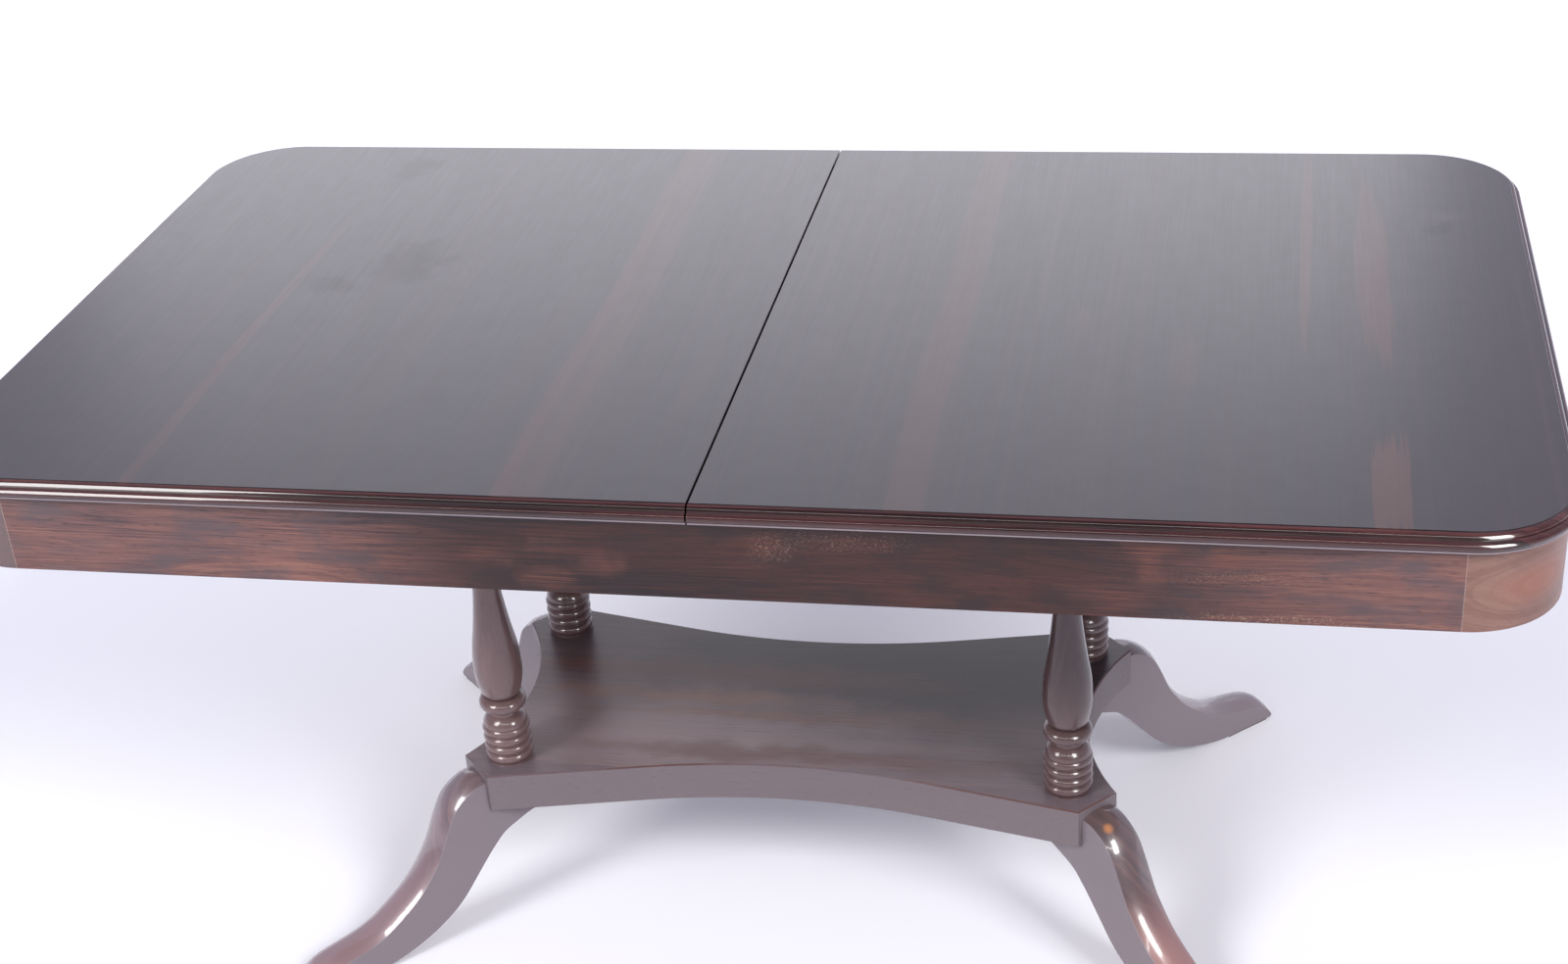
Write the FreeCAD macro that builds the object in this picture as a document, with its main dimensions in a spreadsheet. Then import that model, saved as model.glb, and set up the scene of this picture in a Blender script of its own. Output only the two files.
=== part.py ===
import FreeCAD, Part
import Sketcher
import math
import os
import re

# Extending dining table. A fixed frieze frame stands on four turned columns, a shaped platform and
# four legs. The top is two halves that slide apart on runners, and a leaf is stored in the frame.
# Origin: on the floor under the table's centre. +X runs along the table, +Z is up, the front is -Y.

doc = FreeCAD.newDocument("ExtendingTable")
sheet = doc.addObject("Spreadsheet::Sheet", "sizes")

# Driving sizes in millimetres, with angles in degrees
SIZES = {
    # the whole table
    "table_height": 750,
    "table_length": 1644,
    "table_width": 924,
    "top_corner_radius": 109,
    "seam_gap": 2,
    "joinery_play": 0.15,
    "sliding_play": 0.3,
    "cut_overrun": 5,
    # panels of the top, and the moulding round them
    "panel_thickness": 18,
    "panel_arris": 0.6,
    "moulding_width": 11,
    "moulding_height": 18.5,
    # frieze
    "frieze_setback": 13,
    "frieze_height": 88,
    "frieze_thickness": 24,
    "frieze_top_play": 1,
    "frieze_dowel_radius": 4,
    "frieze_dowel_length": 40,
    "frieze_dowel_inset": 22,
    "housing_depth": 8,
    "brace_height": 25,
    "brace_lift": 7,
    "brace_width": 25,
    "brace_end_width": 18,
    # platform
    "platform_top": 213,
    "platform_thickness": 48.5,
    "platform_arris": 1.5,
    "cant_middle_x": 366.3,
    "cant_middle_y": 167.1,
    "cant_width": 58,
    "leg_heading": 43.5,
    "side_hollow": 55.6,
    "flank_angle": 12,
    "end_hollow": 42.3,
    # legs
    "leg_width": 46,
    "leg_reach": 250,
    "leg_shoulder_drop": 12.5,
    "leg_crown": 7,
    "leg_tongue_length": 90,
    "leg_dowel_radius": 5,
    "leg_dowel_length": 40,
    "leg_dowel_drop": 29,
    "leg_screw_radius": 3,
    "leg_screw_head_radius": 6,
    "leg_screw_head_height": 4,
    "leg_screw_sink": 15,
    "leg_screw_bite": 20,
    "leg_screw_inset": 28,
    "leg_screw_spacing": 40,
    "pad_thickness": 2,
    "pad_length": 66,
    "pad_width": 45,
    "pad_toe_setback": 8,
    # turned columns
    "column_inset_x": 35.2,
    "column_inset_y": 27.3,
    "column_radius": 28.3,
    "tenon_radius": 12.5,
    "tenon_length": 25,
    # cross bearers, stop rail and guide beams inside the frame
    "bearer_width": 90,
    "bearer_lift": 5,
    "stop_rail_width": 50,
    "stop_rail_height": 30,
    "guide_inset": 117,
    "guide_width": 34,
    "groove_depth": 10,
    "groove_drop": 22.3,
    "tongue_height": 12,
    "end_block_length": 40,
    "end_block_margin": 8,
    "guide_screw_radius": 2.5,
    "guide_screw_head_radius": 5,
    "guide_screw_head_height": 3,
    "guide_screw_sink": 20,
    "guide_screw_bite": 20,
    # runners under the halves
    "runner_width": 26,
    "runner_height": 28,
    "runner_side_play": 0.6,
    "runner_end_gap": 5,
    "stop_block_length": 20,
    "stop_block_height": 12,
    "stop_end_play": 0.3,
    "stop_height_play": 2,
    "runner_screw_radius": 2.25,
    "runner_screw_head_radius": 4.5,
    "runner_screw_head_height": 3,
    "runner_screw_sink": 5,
    "runner_screw_bite": 12,
    "runner_screw_inset": 50,
    "runner_screw_count": 4,
    # stored leaf and the dowels that line up the seams
    "leaf_storage_gap": 24.4,
    "leaf_fitting_play": 8,
    "leaf_rest_width": 40,
    "leaf_rest_thickness": 4,
    "leaf_rest_inset": 10,
    "seam_dowel_radius": 4,
    "seam_dowel_sunk": 18,
    "seam_dowel_reach": 12,
    "seam_dowel_socket": 16,
    "seam_dowel_spacing": 300,
    # swivel catches across the seam
    "catch_side_play": 3,
    "catch_setback": 14,
    "catch_plate_length": 26,
    "catch_plate_width": 24,
    "catch_plate_thickness": 2,
    "catch_boss_radius": 6,
    "catch_boss_height": 2.7,
    "catch_pin_radius": 3,
    "catch_pin_play": 0.1,
    "catch_head_radius": 5,
    "catch_head_height": 1.5,
    "catch_lever_thickness": 3,
    "catch_lever_play": 0.3,
    "catch_lever_half_width": 7,
    "catch_lever_eye_radius": 8,
    "catch_nose": 8,
    "catch_slot_play": 0.5,
    "catch_stud_length": 8,
}
for row, (alias, amount) in enumerate(SIZES.items(), start=1):
    sheet.set(f"A{row}", alias)
    sheet.set(f"B{row}", str(amount))
    sheet.setAlias(f"B{row}", alias)
doc.recompute()


def formula(text):
    """Expression text in which each size's name points at its cell."""
    def cell(word):
        return f"sizes.{word[0]}" if word[0] in SIZES else word[0]
    return re.sub(r"[a-z_]+", cell, str(text))


def amount_of(text):
    """Value of an expression written with the sizes' names."""
    return float(sheet.evalExpression(formula(text)))


# Places that several pieces share, written once in terms of the sizes
PANEL_TOP = "table_height"
PANEL_UNDERSIDE = "(table_height - panel_thickness)"
CORNER_X = "(table_length / 2 - top_corner_radius)"
CORNER_Y = "(table_width / 2 - top_corner_radius)"
PANEL_END = "(table_length / 2 - moulding_width)"
PANEL_SIDE = "(table_width / 2 - moulding_width)"
FRIEZE_TOP = f"({PANEL_UNDERSIDE} - frieze_top_play)"
FRIEZE_BOTTOM = f"({FRIEZE_TOP} - frieze_height)"
FRIEZE_INNER_X = "(table_length / 2 - frieze_setback - frieze_thickness)"
FRIEZE_INNER_Y = "(table_width / 2 - frieze_setback - frieze_thickness)"
RUNNER_BOTTOM = f"({PANEL_UNDERSIDE} - runner_height)"
BEARER_BOTTOM = f"({FRIEZE_BOTTOM} + bearer_lift)"
BEARER_TOP = f"({RUNNER_BOTTOM} - stop_block_height - stop_height_play)"
GUIDE_TOP = f"({PANEL_UNDERSIDE} - sliding_play)"
GUIDE_Y = f"({FRIEZE_INNER_Y} - guide_inset)"
GROOVE_BOTTOM = f"({PANEL_UNDERSIDE} - groove_drop)"
LEAF_WIDTH = f"(2 * ({GUIDE_Y} - guide_width / 2 - runner_side_play - runner_width - leaf_storage_gap))"
TRAVEL = f"(({LEAF_WIDTH} + seam_dowel_reach + leaf_fitting_play) / 2)"
COLUMN_X = "(cant_middle_x - column_inset_x)"
COLUMN_Y = "(cant_middle_y - column_inset_y)"
COLUMN_HEIGHT = f"({BEARER_BOTTOM} - platform_top)"
PLATFORM_BOTTOM = "(platform_top - platform_thickness)"
CORNERS = {"front_left": (-1, -1), "front_right": (1, -1), "rear_left": (-1, 1), "rear_right": (1, 1)}

nodes = []


def finish(piece, label):
    """Name a finished piece and list it for export."""
    piece.Label = label
    nodes.append(piece)
    return piece


def place(piece, x, y, z, angle=0):
    """Bind a piece's position to the sizes and turn it about the vertical."""
    turn = FreeCAD.Rotation(FreeCAD.Vector(0, 0, 1), amount_of(angle))
    piece.Placement = FreeCAD.Placement(FreeCAD.Vector(), turn)
    for letter, text in zip("xyz", (x, y, z)):
        piece.setExpression(f"Placement.Base.{letter}", formula(text))
    return piece


def box(x, y, z, length, width, height, angle=0):
    """Block from its lowest corner."""
    piece = doc.addObject("Part::Box", "Block")
    for name, text in (("Length", length), ("Width", width), ("Height", height)):
        piece.setExpression(name, formula(text))
    return place(piece, x, y, z, angle)


def rod(x, y, z, radius, height, along="Z"):
    """Cylinder from the middle of its first end, running along +X, +Y or +Z."""
    piece = doc.addObject("Part::Cylinder", "Rod")
    piece.setExpression("Radius", formula(radius))
    piece.setExpression("Height", formula(height))
    place(piece, x, y, z)
    tilts = {"X": FreeCAD.Rotation(FreeCAD.Vector(0, 1, 0), 90),
             "Y": FreeCAD.Rotation(FreeCAD.Vector(1, 0, 0), -90)}
    if along in tilts:
        piece.Placement = FreeCAD.Placement(piece.Placement.Base, tilts[along])
    return piece


def group(pieces):
    """Like pieces that share one node as separate solids."""
    piece = doc.addObject("Part::Compound", "Group")
    piece.Links = pieces
    return piece


def fuse(pieces):
    piece = doc.addObject("Part::MultiFuse", "Joined")
    piece.Shapes = pieces
    piece.Refine = True
    return piece


def cut(base, tools):
    piece = doc.addObject("Part::Cut", "Worked")
    piece.Base = base
    piece.Tool = group(tools) if len(tools) > 1 else tools[0]
    return piece


def screw(x, y, z, radius, length, head_radius, head_height):
    """Screw driven upwards from below: a flat head at z and a shank above it."""
    head = rod(x, y, z, head_radius, head_height)
    shank = rod(x, y, z, radius, length)
    return fuse([head, shank])


def outline(body, plane, points, arcs=None):
    """Closed sketch on one of the body's own planes.

    points are (x, y) texts written with the sizes. arcs gives, for the edge that starts at a
    point, its radius and the side its centre lies on: 1 left of the way round, -1 right of it.
    """
    sketch = body.newObject("Sketcher::SketchObject", "Outline")
    support = [feature for feature in body.Origin.OriginFeatures if feature.Role == plane][0]
    sketch.AttachmentSupport = [(support, "")]
    sketch.MapMode = "FlatFace"
    arcs = arcs or {}
    corners = [FreeCAD.Vector(amount_of(x), amount_of(y), 0) for x, y in points]
    count = len(corners)
    ends = []
    for index, start in enumerate(corners):
        end = corners[(index + 1) % count]
        if index not in arcs:
            sketch.addGeometry(Part.LineSegment(start, end))
            ends.append((1, 2))
            continue
        radius, side = amount_of(arcs[index][0]), arcs[index][1]
        chord = end - start
        left = FreeCAD.Vector(-chord.y, chord.x, 0).normalize()
        centre = (start + end) * 0.5 + left * side * math.sqrt(radius ** 2 - (chord.Length / 2) ** 2)
        first, last = (start, end) if side > 0 else (end, start)
        angles = [math.atan2(point.y - centre.y, point.x - centre.x) for point in (first, last)]
        if angles[1] < angles[0]:
            angles[1] += 2 * math.pi
        circle = Part.Circle(centre, FreeCAD.Vector(0, 0, 1), radius)
        sketch.addGeometry(Part.ArcOfCircle(circle, *angles))
        ends.append((1, 2) if side > 0 else (2, 1))
    for index, (x, y) in enumerate(points):
        before = (index - 1) % count
        meeting = (before, ends[before][1], index, ends[index][0])
        sketch.addConstraint(Sketcher.Constraint("Coincident", *meeting))
        for kind, text, axis in (("DistanceX", x, -2), ("DistanceY", y, -1)):
            if text == "0":
                sketch.addConstraint(Sketcher.Constraint("PointOnObject", index, ends[index][0], axis))
                continue
            number = sketch.addConstraint(Sketcher.Constraint(kind, index, ends[index][0], amount_of(text)))
            sketch.setExpression(f"Constraints[{number}]", formula(text))
    for index, (radius, _) in arcs.items():
        number = sketch.addConstraint(Sketcher.Constraint("Radius", index, amount_of(radius)))
        sketch.setExpression(f"Constraints[{number}]", formula(radius))
    return sketch


def bow(points, index, share):
    """Arc on the edge that starts at a point: its rise as a share of its chord, below 0 for a hollow."""
    (x, y), (end_x, end_y) = points[index], points[(index + 1) % len(points)]
    chord = f"sqrt((({end_x}) - ({x})) ^ 2 + (({end_y}) - ({y})) ^ 2)"
    rise = f"abs({share})"
    return f"{chord} * (4 * {rise} ^ 2 + 1) / (8 * {rise})", 1 if amount_of(share) > 0 else -1


def padded(points, thickness, arcs=None, plane="XY_Plane", both_ways=False):
    """Body whose outline is padded to a thickness."""
    body = doc.addObject("PartDesign::Body", "Body")
    sketch = outline(body, plane, points, arcs)
    pad = body.newObject("PartDesign::Pad", "Pad")
    pad.Profile = sketch
    pad.Midplane = both_ways
    pad.setExpression("Length", formula(thickness))
    return body


def turned(points, arcs=None, angle=360):
    """Body whose outline on the XZ plane is turned about the vertical."""
    body = doc.addObject("PartDesign::Body", "Body")
    sketch = outline(body, "XZ_Plane", points, arcs)
    spin = body.newObject("PartDesign::Revolution", "Revolution")
    spin.Profile = sketch
    spin.ReferenceAxis = (sketch, ["V_Axis"])
    spin.Angle = angle
    spin.Midplane = True
    return body


def ease_top(body, thickness, arris):
    """Take the sharp edge off all round the upper face of a padded body."""
    doc.recompute()
    base, upper_face = body.Tip, amount_of(thickness)
    names = [f"Edge{number}" for number, edge in enumerate(base.Shape.Edges, start=1)
             if all(math.isclose(vertex.Point.z, upper_face) for vertex in edge.Vertexes)]
    chamfer = body.newObject("PartDesign::Chamfer", "Arris")
    chamfer.Base = (base, names)
    chamfer.setExpression("Size", formula(arris))
    body.Tip = chamfer


# Platform: a thick board with hollowed sides and its corners canted square to the legs
def cant_end(side_x, side_y, end):
    """Corner of the platform's cant: end 1 is towards the table's end, -1 towards its front or rear."""
    x = f"{side_x} * (cant_middle_x + {end} * cant_width / 2 * sin(leg_heading))"
    y = f"{side_y} * (cant_middle_y - {end} * cant_width / 2 * cos(leg_heading))"
    return x, y


# each long side has a hollow in its middle, and straight flanks that meet it without a kink
flank_x, flank_y = cant_end(1, 1, -1)
end_x, end_y = cant_end(1, 1, 1)
hollow_radius = f"(({flank_x} * tan(flank_angle) - side_hollow) * cos(flank_angle) / (1 - cos(flank_angle)))"
arc_x = f"({hollow_radius} * sin(flank_angle))"
arc_y = f"({flank_y} - side_hollow + {hollow_radius} * (1 - cos(flank_angle)))"
platform_points = [
    cant_end(1, 1, 1), cant_end(1, 1, -1), (arc_x, arc_y), (f"-{arc_x}", arc_y),
    cant_end(-1, 1, -1), cant_end(-1, 1, 1), cant_end(-1, -1, 1), cant_end(-1, -1, -1),
    (f"-{arc_x}", f"-{arc_y}"), (arc_x, f"-{arc_y}"), cant_end(1, -1, -1), cant_end(1, -1, 1),
]
end_arc = bow(platform_points, 5, f"-end_hollow / (2 * ({end_y}))")
hollow_sides = {2: (hollow_radius, -1), 5: end_arc, 8: (hollow_radius, -1), 11: end_arc}
platform_board = padded(platform_points, "platform_thickness", hollow_sides)
place(platform_board, "0", "0", PLATFORM_BOTTOM)
ease_top(platform_board, "platform_thickness", "platform_arris")


def leg_angle(side_x, side_y):
    """Way a leg points, in degrees from +X."""
    return f"{90 - 90 * side_x} + {side_x * side_y} * leg_heading"


def beside_leg(side_x, side_y, along):
    """Point on a leg's middle line, measured outwards from the platform's cant."""
    x = f"{side_x} * (cant_middle_x + ({along}) * cos(leg_heading))"
    y = f"{side_y} * (cant_middle_y + ({along}) * sin(leg_heading))"
    return x, y


screw_places = ["-leg_screw_inset", "-(leg_screw_inset + leg_screw_spacing)"]
platform_holes = []
for side_x, side_y in CORNERS.values():
    platform_holes.append(rod(f"{side_x} * {COLUMN_X}", f"{side_y} * {COLUMN_Y}",
                              "platform_top - tenon_length - joinery_play", "tenon_radius + joinery_play",
                              "tenon_length + joinery_play + cut_overrun"))
    for along in screw_places:
        x, y = beside_leg(side_x, side_y, along)
        platform_holes.append(rod(x, y, f"{PLATFORM_BOTTOM} - cut_overrun", "leg_screw_radius + joinery_play",
                                  "leg_screw_bite + joinery_play + cut_overrun"))
    x, y = beside_leg(side_x, side_y, "-leg_dowel_length / 2 - joinery_play")
    socket = rod(x, y, "platform_top - leg_dowel_drop", "leg_dowel_radius + joinery_play", "leg_dowel_length")
    socket.Placement.Rotation = FreeCAD.Rotation(amount_of(leg_angle(side_x, side_y)), 90, 0)
    platform_holes.append(socket)
finish(cut(platform_board, platform_holes), "base_platform")

# Leg: an S-shaped blade with flat sides and a crowned top. It butts against the cant with a dowel,
# and a tongue runs under the platform, where two screws hold it. Each station, from the tongue to
# the toe, gives the upper edge as shares of the reach and of the shoulder's height, and the lower
# edge as shares of the reach and of the height of the platform's underside.
leg_station_shares = [
    (-0.380, 1.000, -0.380, 0.894), (-0.240, 1.000, -0.260, 0.848), (-0.100, 1.000, -0.168, 0.813),
    (0.008, 0.990, -0.104, 0.776), (0.072, 0.976, -0.060, 0.742), (0.128, 0.936, -0.028, 0.702),
    (0.172, 0.882, -0.004, 0.665), (0.208, 0.806, 0.020, 0.628), (0.240, 0.721, 0.042, 0.590),
    (0.272, 0.633, 0.072, 0.537), (0.324, 0.529, 0.132, 0.428), (0.388, 0.431, 0.212, 0.295),
    (0.464, 0.347, 0.328, 0.171), (0.556, 0.267, 0.460, 0.081), (0.656, 0.204, 0.600, 0.025),
    (0.744, 0.174, 0.720, 0.008), (0.820, 0.157, 0.812, 0.008), (0.892, 0.137, 0.888, 0.008),
    (0.952, 0.102, 0.948, 0.008), (0.988, 0.055, 0.982, 0.010), (1.002, 0.025, 0.996, 0.019),
]


def leg_shape():
    """Solid of a leg that points along +X, with its cant face at x = 0 and the floor at z = 0."""
    reach, shoulder = amount_of("leg_reach"), amount_of("platform_top - leg_shoulder_drop")
    under = amount_of(PLATFORM_BOTTOM)
    half_width, crown = amount_of("leg_width / 2"), amount_of("leg_crown")
    sections = []
    for top_x, top_z, low_x, low_z in leg_station_shares:
        top = FreeCAD.Vector(top_x * reach, 0, top_z * shoulder)
        low = FreeCAD.Vector(low_x * reach, 0, low_z * under)
        side = FreeCAD.Vector(0, half_width, 0)
        rise = min(crown, (top - low).Length / 2)
        ridge = top + (top - low).normalize() * rise
        sections.append(Part.Wire([
            Part.makeLine(low - side, low + side),
            Part.makeLine(low + side, top + side),
            Part.Arc(top + side, ridge, top - side).toShape(),
            Part.makeLine(top - side, low - side),
        ]))
    blade = Part.makeLoft(sections, True, False)
    overrun, play = amount_of("cut_overrun"), amount_of("joinery_play")
    tongue = amount_of("leg_tongue_length")
    width = 2 * (half_width + overrun)
    notch = Part.makeBox(2 * tongue, width, shoulder, FreeCAD.Vector(-2 * tongue, -width / 2, under))
    behind = Part.makeBox(tongue, width, 2 * shoulder, FreeCAD.Vector(-2 * tongue, -width / 2, 0))
    pad = amount_of("pad_thickness")
    below = Part.makeBox(2 * reach, width, 2 * pad, FreeCAD.Vector(0, -width / 2, -pad))
    tools = [notch, behind, below]
    up = FreeCAD.Vector(0, 0, 1)
    for along in screw_places:
        foot = FreeCAD.Vector(amount_of(along), 0, 0)
        seat = under - amount_of("leg_screw_sink")
        tools.append(Part.makeCylinder(amount_of("leg_screw_head_radius") + play, seat, foot, up))
        tools.append(Part.makeCylinder(amount_of("leg_screw_radius") + play, under, foot, up))
    dowel_start = FreeCAD.Vector(0, 0, amount_of("platform_top - leg_dowel_drop"))
    dowel_radius, dowel_depth = amount_of("leg_dowel_radius"), amount_of("leg_dowel_length / 2")
    outwards = FreeCAD.Vector(1, 0, 0)
    tools.append(Part.makeCylinder(dowel_radius + play, dowel_depth + play, dowel_start, outwards))
    return blade.cut(tools)


blade = leg_shape()
leg_screws, leg_dowels, foot_pads = [], [], []
for corner, (side_x, side_y) in CORNERS.items():
    leg = doc.addObject("Part::Feature", "Leg")
    leg.Shape = blade
    place(leg, f"{side_x} * cant_middle_x", f"{side_y} * cant_middle_y", "0", leg_angle(side_x, side_y))
    finish(leg, f"leg_{corner}")
    for along in screw_places:
        x, y = beside_leg(side_x, side_y, along)
        head_z = f"{PLATFORM_BOTTOM} - leg_screw_sink - leg_screw_head_height"
        leg_screws.append(screw(x, y, head_z, "leg_screw_radius",
                                "leg_screw_head_height + leg_screw_sink + leg_screw_bite",
                                "leg_screw_head_radius", "leg_screw_head_height"))
    x, y = beside_leg(side_x, side_y, "-leg_dowel_length / 2")
    dowel = rod(x, y, "platform_top - leg_dowel_drop", "leg_dowel_radius", "leg_dowel_length")
    dowel.Placement.Rotation = FreeCAD.Rotation(amount_of(leg_angle(side_x, side_y)), 90, 0)
    leg_dowels.append(dowel)
    # a thin pad is glued under each flat sole
    heel = "(leg_reach - pad_toe_setback - pad_length)"
    pad = padded([(heel, "-pad_width / 2"), (f"{heel} + pad_length", "-pad_width / 2"),
                  (f"{heel} + pad_length", "pad_width / 2"), (heel, "pad_width / 2")], "pad_thickness")
    place(pad, f"{side_x} * cant_middle_x", f"{side_y} * cant_middle_y", "0", leg_angle(side_x, side_y))
    foot_pads.append(pad)
finish(group(leg_screws), "leg_screws")
finish(group(leg_dowels), "leg_dowels")
finish(group(foot_pads), "foot_pads")

# Turned column: a foot, four rings, a rounded shoulder, a neck, a torus and a tall vase, with a
# smaller astragal, cup and cap where the frieze hides it, and a round tenon at each end. Each
# point is a share of the column's height and of its radius, with the bow of the edge after it.
ring_start_share, ring_pitch_share, ring_root_share, ring_bow_share = 0.0045, 0.0277, 0.866, 0.311
ring_count = 4
column_shares = [(0, 0.919, 0), (ring_start_share, 0.919, 0)]
for ring in range(ring_count):
    column_shares.append((ring_start_share + ring * ring_pitch_share, ring_root_share, ring_bow_share))
column_shares += [
    (0.1155, 0.866, 0), (0.1155, 0.933, 0.130), (0.1473, 0.618, 0), (0.1620, 0.618, 0),
    (0.1620, 0.689, 0.472), (0.2030, 0.689, 0), (0.2030, 0.618, 0.123), (0.2280, 0.866, 0.0466),
    (0.3075, 0.989, 0.0225), (0.3757, 0.894, -0.0220), (0.7052, 0.442, 0.348), (0.7325, 0.442, 0),
    (0.7552, 0.442, -0.160), (0.8189, 0.848, 0.377), (0.8416, 0.848, 0), (0.8416, 0.901, 0), (1, 0.901, 0),
]
column_points = [("0", "-tenon_length"), ("tenon_radius", "-tenon_length"), ("tenon_radius", "0")]
first = len(column_points)
column_points += [(f"{radius} * column_radius", f"{height} * {COLUMN_HEIGHT}")
                  for height, radius, _ in column_shares]
column_points += [("tenon_radius", COLUMN_HEIGHT), ("tenon_radius", f"{COLUMN_HEIGHT} + tenon_length"),
                  ("0", f"{COLUMN_HEIGHT} + tenon_length")]
column_arcs = {first + number: bow(column_points, first + number, share)
               for number, (_, _, share) in enumerate(column_shares) if share}
for corner, (side_x, side_y) in CORNERS.items():
    column = turned(column_points, column_arcs)
    place(column, f"{side_x} * {COLUMN_X}", f"{side_y} * {COLUMN_Y}", "platform_top")
    finish(column, f"column_{corner}")

# Cross bearers on the columns, housed into the long frieze rails, and a stop rail between them
bearer_end = f"({FRIEZE_INNER_Y} + housing_depth)"
for name, side in (("left", -1), ("right", 1)):
    board = box(f"{side} * {COLUMN_X} - bearer_width / 2", f"-{bearer_end}", BEARER_BOTTOM,
                "bearer_width", f"2 * {bearer_end}", f"{BEARER_TOP} - {BEARER_BOTTOM}")
    bores = []
    for side_y in (-1, 1):
        bores.append(rod(f"{side} * {COLUMN_X}", f"{side_y} * {COLUMN_Y}", f"{BEARER_BOTTOM} - cut_overrun",
                         "tenon_radius + joinery_play", "tenon_length + joinery_play + cut_overrun"))
        bores.append(rod(f"{side} * {COLUMN_X}", f"{side_y} * {GUIDE_Y}", f"{BEARER_TOP} - guide_screw_bite",
                         "guide_screw_radius + joinery_play", "guide_screw_bite + cut_overrun"))
    finish(cut(board, bores), f"cross_bearer_{name}")
finish(box("-stop_rail_width / 2", f"-{FRIEZE_INNER_Y}", f"{BEARER_TOP} - stop_rail_height",
           "stop_rail_width", f"2 * {FRIEZE_INNER_Y}", "stop_rail_height"), "stop_rail")

# Frieze: two long rails and two end rails, joined by quarter-round corner blocks with dowels
dowel_levels = [f"{FRIEZE_BOTTOM} + frieze_dowel_inset", f"{FRIEZE_TOP} - frieze_dowel_inset"]
half_dowel = "frieze_dowel_length / 2"
dowel_hole = "frieze_dowel_radius + joinery_play"
for name, side in (("front", -1), ("rear", 1)):
    start_y = f"{side} * ({FRIEZE_INNER_Y} + frieze_thickness / 2) - frieze_thickness / 2"
    rail = box(f"-{CORNER_X}", start_y, FRIEZE_BOTTOM, f"2 * {CORNER_X}", "frieze_thickness", "frieze_height")
    tools = []
    for side_x in (-1, 1):
        tools.append(box(f"{side_x} * {COLUMN_X} - bearer_width / 2 - joinery_play",
                         f"{side} * {FRIEZE_INNER_Y} - housing_depth - joinery_play",
                         f"{BEARER_BOTTOM} - joinery_play", "bearer_width + 2 * joinery_play",
                         "2 * (housing_depth + joinery_play)",
                         f"{BEARER_TOP} - {BEARER_BOTTOM} + 2 * joinery_play"))
        for dowel_z in dowel_levels:
            tools.append(rod(f"{side_x} * {CORNER_X} - {half_dowel} - joinery_play",
                             f"{side} * ({FRIEZE_INNER_Y} + frieze_thickness / 2)", dowel_z, dowel_hole,
                             "frieze_dowel_length + 2 * joinery_play", "X"))
    finish(cut(rail, tools), f"frieze_{name}_rail")
for name, side in (("left", -1), ("right", 1)):
    start_x = f"{side} * ({FRIEZE_INNER_X} + frieze_thickness / 2) - frieze_thickness / 2"
    rail = box(start_x, f"-{CORNER_Y}", FRIEZE_BOTTOM, "frieze_thickness", f"2 * {CORNER_Y}", "frieze_height")
    tools = [rod(f"{side} * ({FRIEZE_INNER_X} + frieze_thickness / 2)",
                 f"{side_y} * {CORNER_Y} - {half_dowel} - joinery_play", dowel_z, dowel_hole,
                 "frieze_dowel_length + 2 * joinery_play", "Y")
             for side_y in (-1, 1) for dowel_z in dowel_levels]
    finish(cut(rail, tools), f"frieze_{name}_rail")

outer_radius = "(top_corner_radius - frieze_setback)"
inner_radius = f"({outer_radius} - frieze_thickness)"
frieze_dowels, corner_braces = [], []
for corner, (side_x, side_y) in CORNERS.items():
    block = turned([(inner_radius, "0"), (outer_radius, "0"), (outer_radius, "frieze_height"),
                    (inner_radius, "frieze_height")], angle=90)
    place(block, f"{side_x} * {CORNER_X}", f"{side_y} * {CORNER_Y}", FRIEZE_BOTTOM,
          90 - 90 * side_x + 45 * side_x * side_y)
    ring_middle = f"({inner_radius} + frieze_thickness / 2)"
    tools = []
    for dowel_z in dowel_levels:
        for grown, pieces in (("joinery_play", tools), ("0", frieze_dowels)):
            pieces.append(rod(f"{side_x} * {CORNER_X} - {half_dowel} - {grown}",
                              f"{side_y} * ({CORNER_Y} + {ring_middle})", dowel_z,
                              f"frieze_dowel_radius + {grown}", f"frieze_dowel_length + 2 * {grown}", "X"))
            pieces.append(rod(f"{side_x} * ({CORNER_X} + {ring_middle})",
                              f"{side_y} * {CORNER_Y} - {half_dowel} - {grown}", dowel_z,
                              f"frieze_dowel_radius + {grown}", f"frieze_dowel_length + 2 * {grown}", "Y"))
    finish(cut(block, tools), f"frieze_corner_{corner}")
    brace_points = [(f"{CORNER_X} - brace_width", FRIEZE_INNER_Y), (CORNER_X, FRIEZE_INNER_Y),
                    (FRIEZE_INNER_X, CORNER_Y), (FRIEZE_INNER_X, f"{CORNER_Y} - brace_end_width")]
    brace = padded([(f"{side_x} * ({x})", f"{side_y} * ({y})") for x, y in brace_points], "brace_height")
    corner_braces.append(place(brace, "0", "0", f"{FRIEZE_BOTTOM} + brace_lift"))
finish(group(frieze_dowels), "frieze_dowels")
finish(group(corner_braces), "corner_braces")

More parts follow.
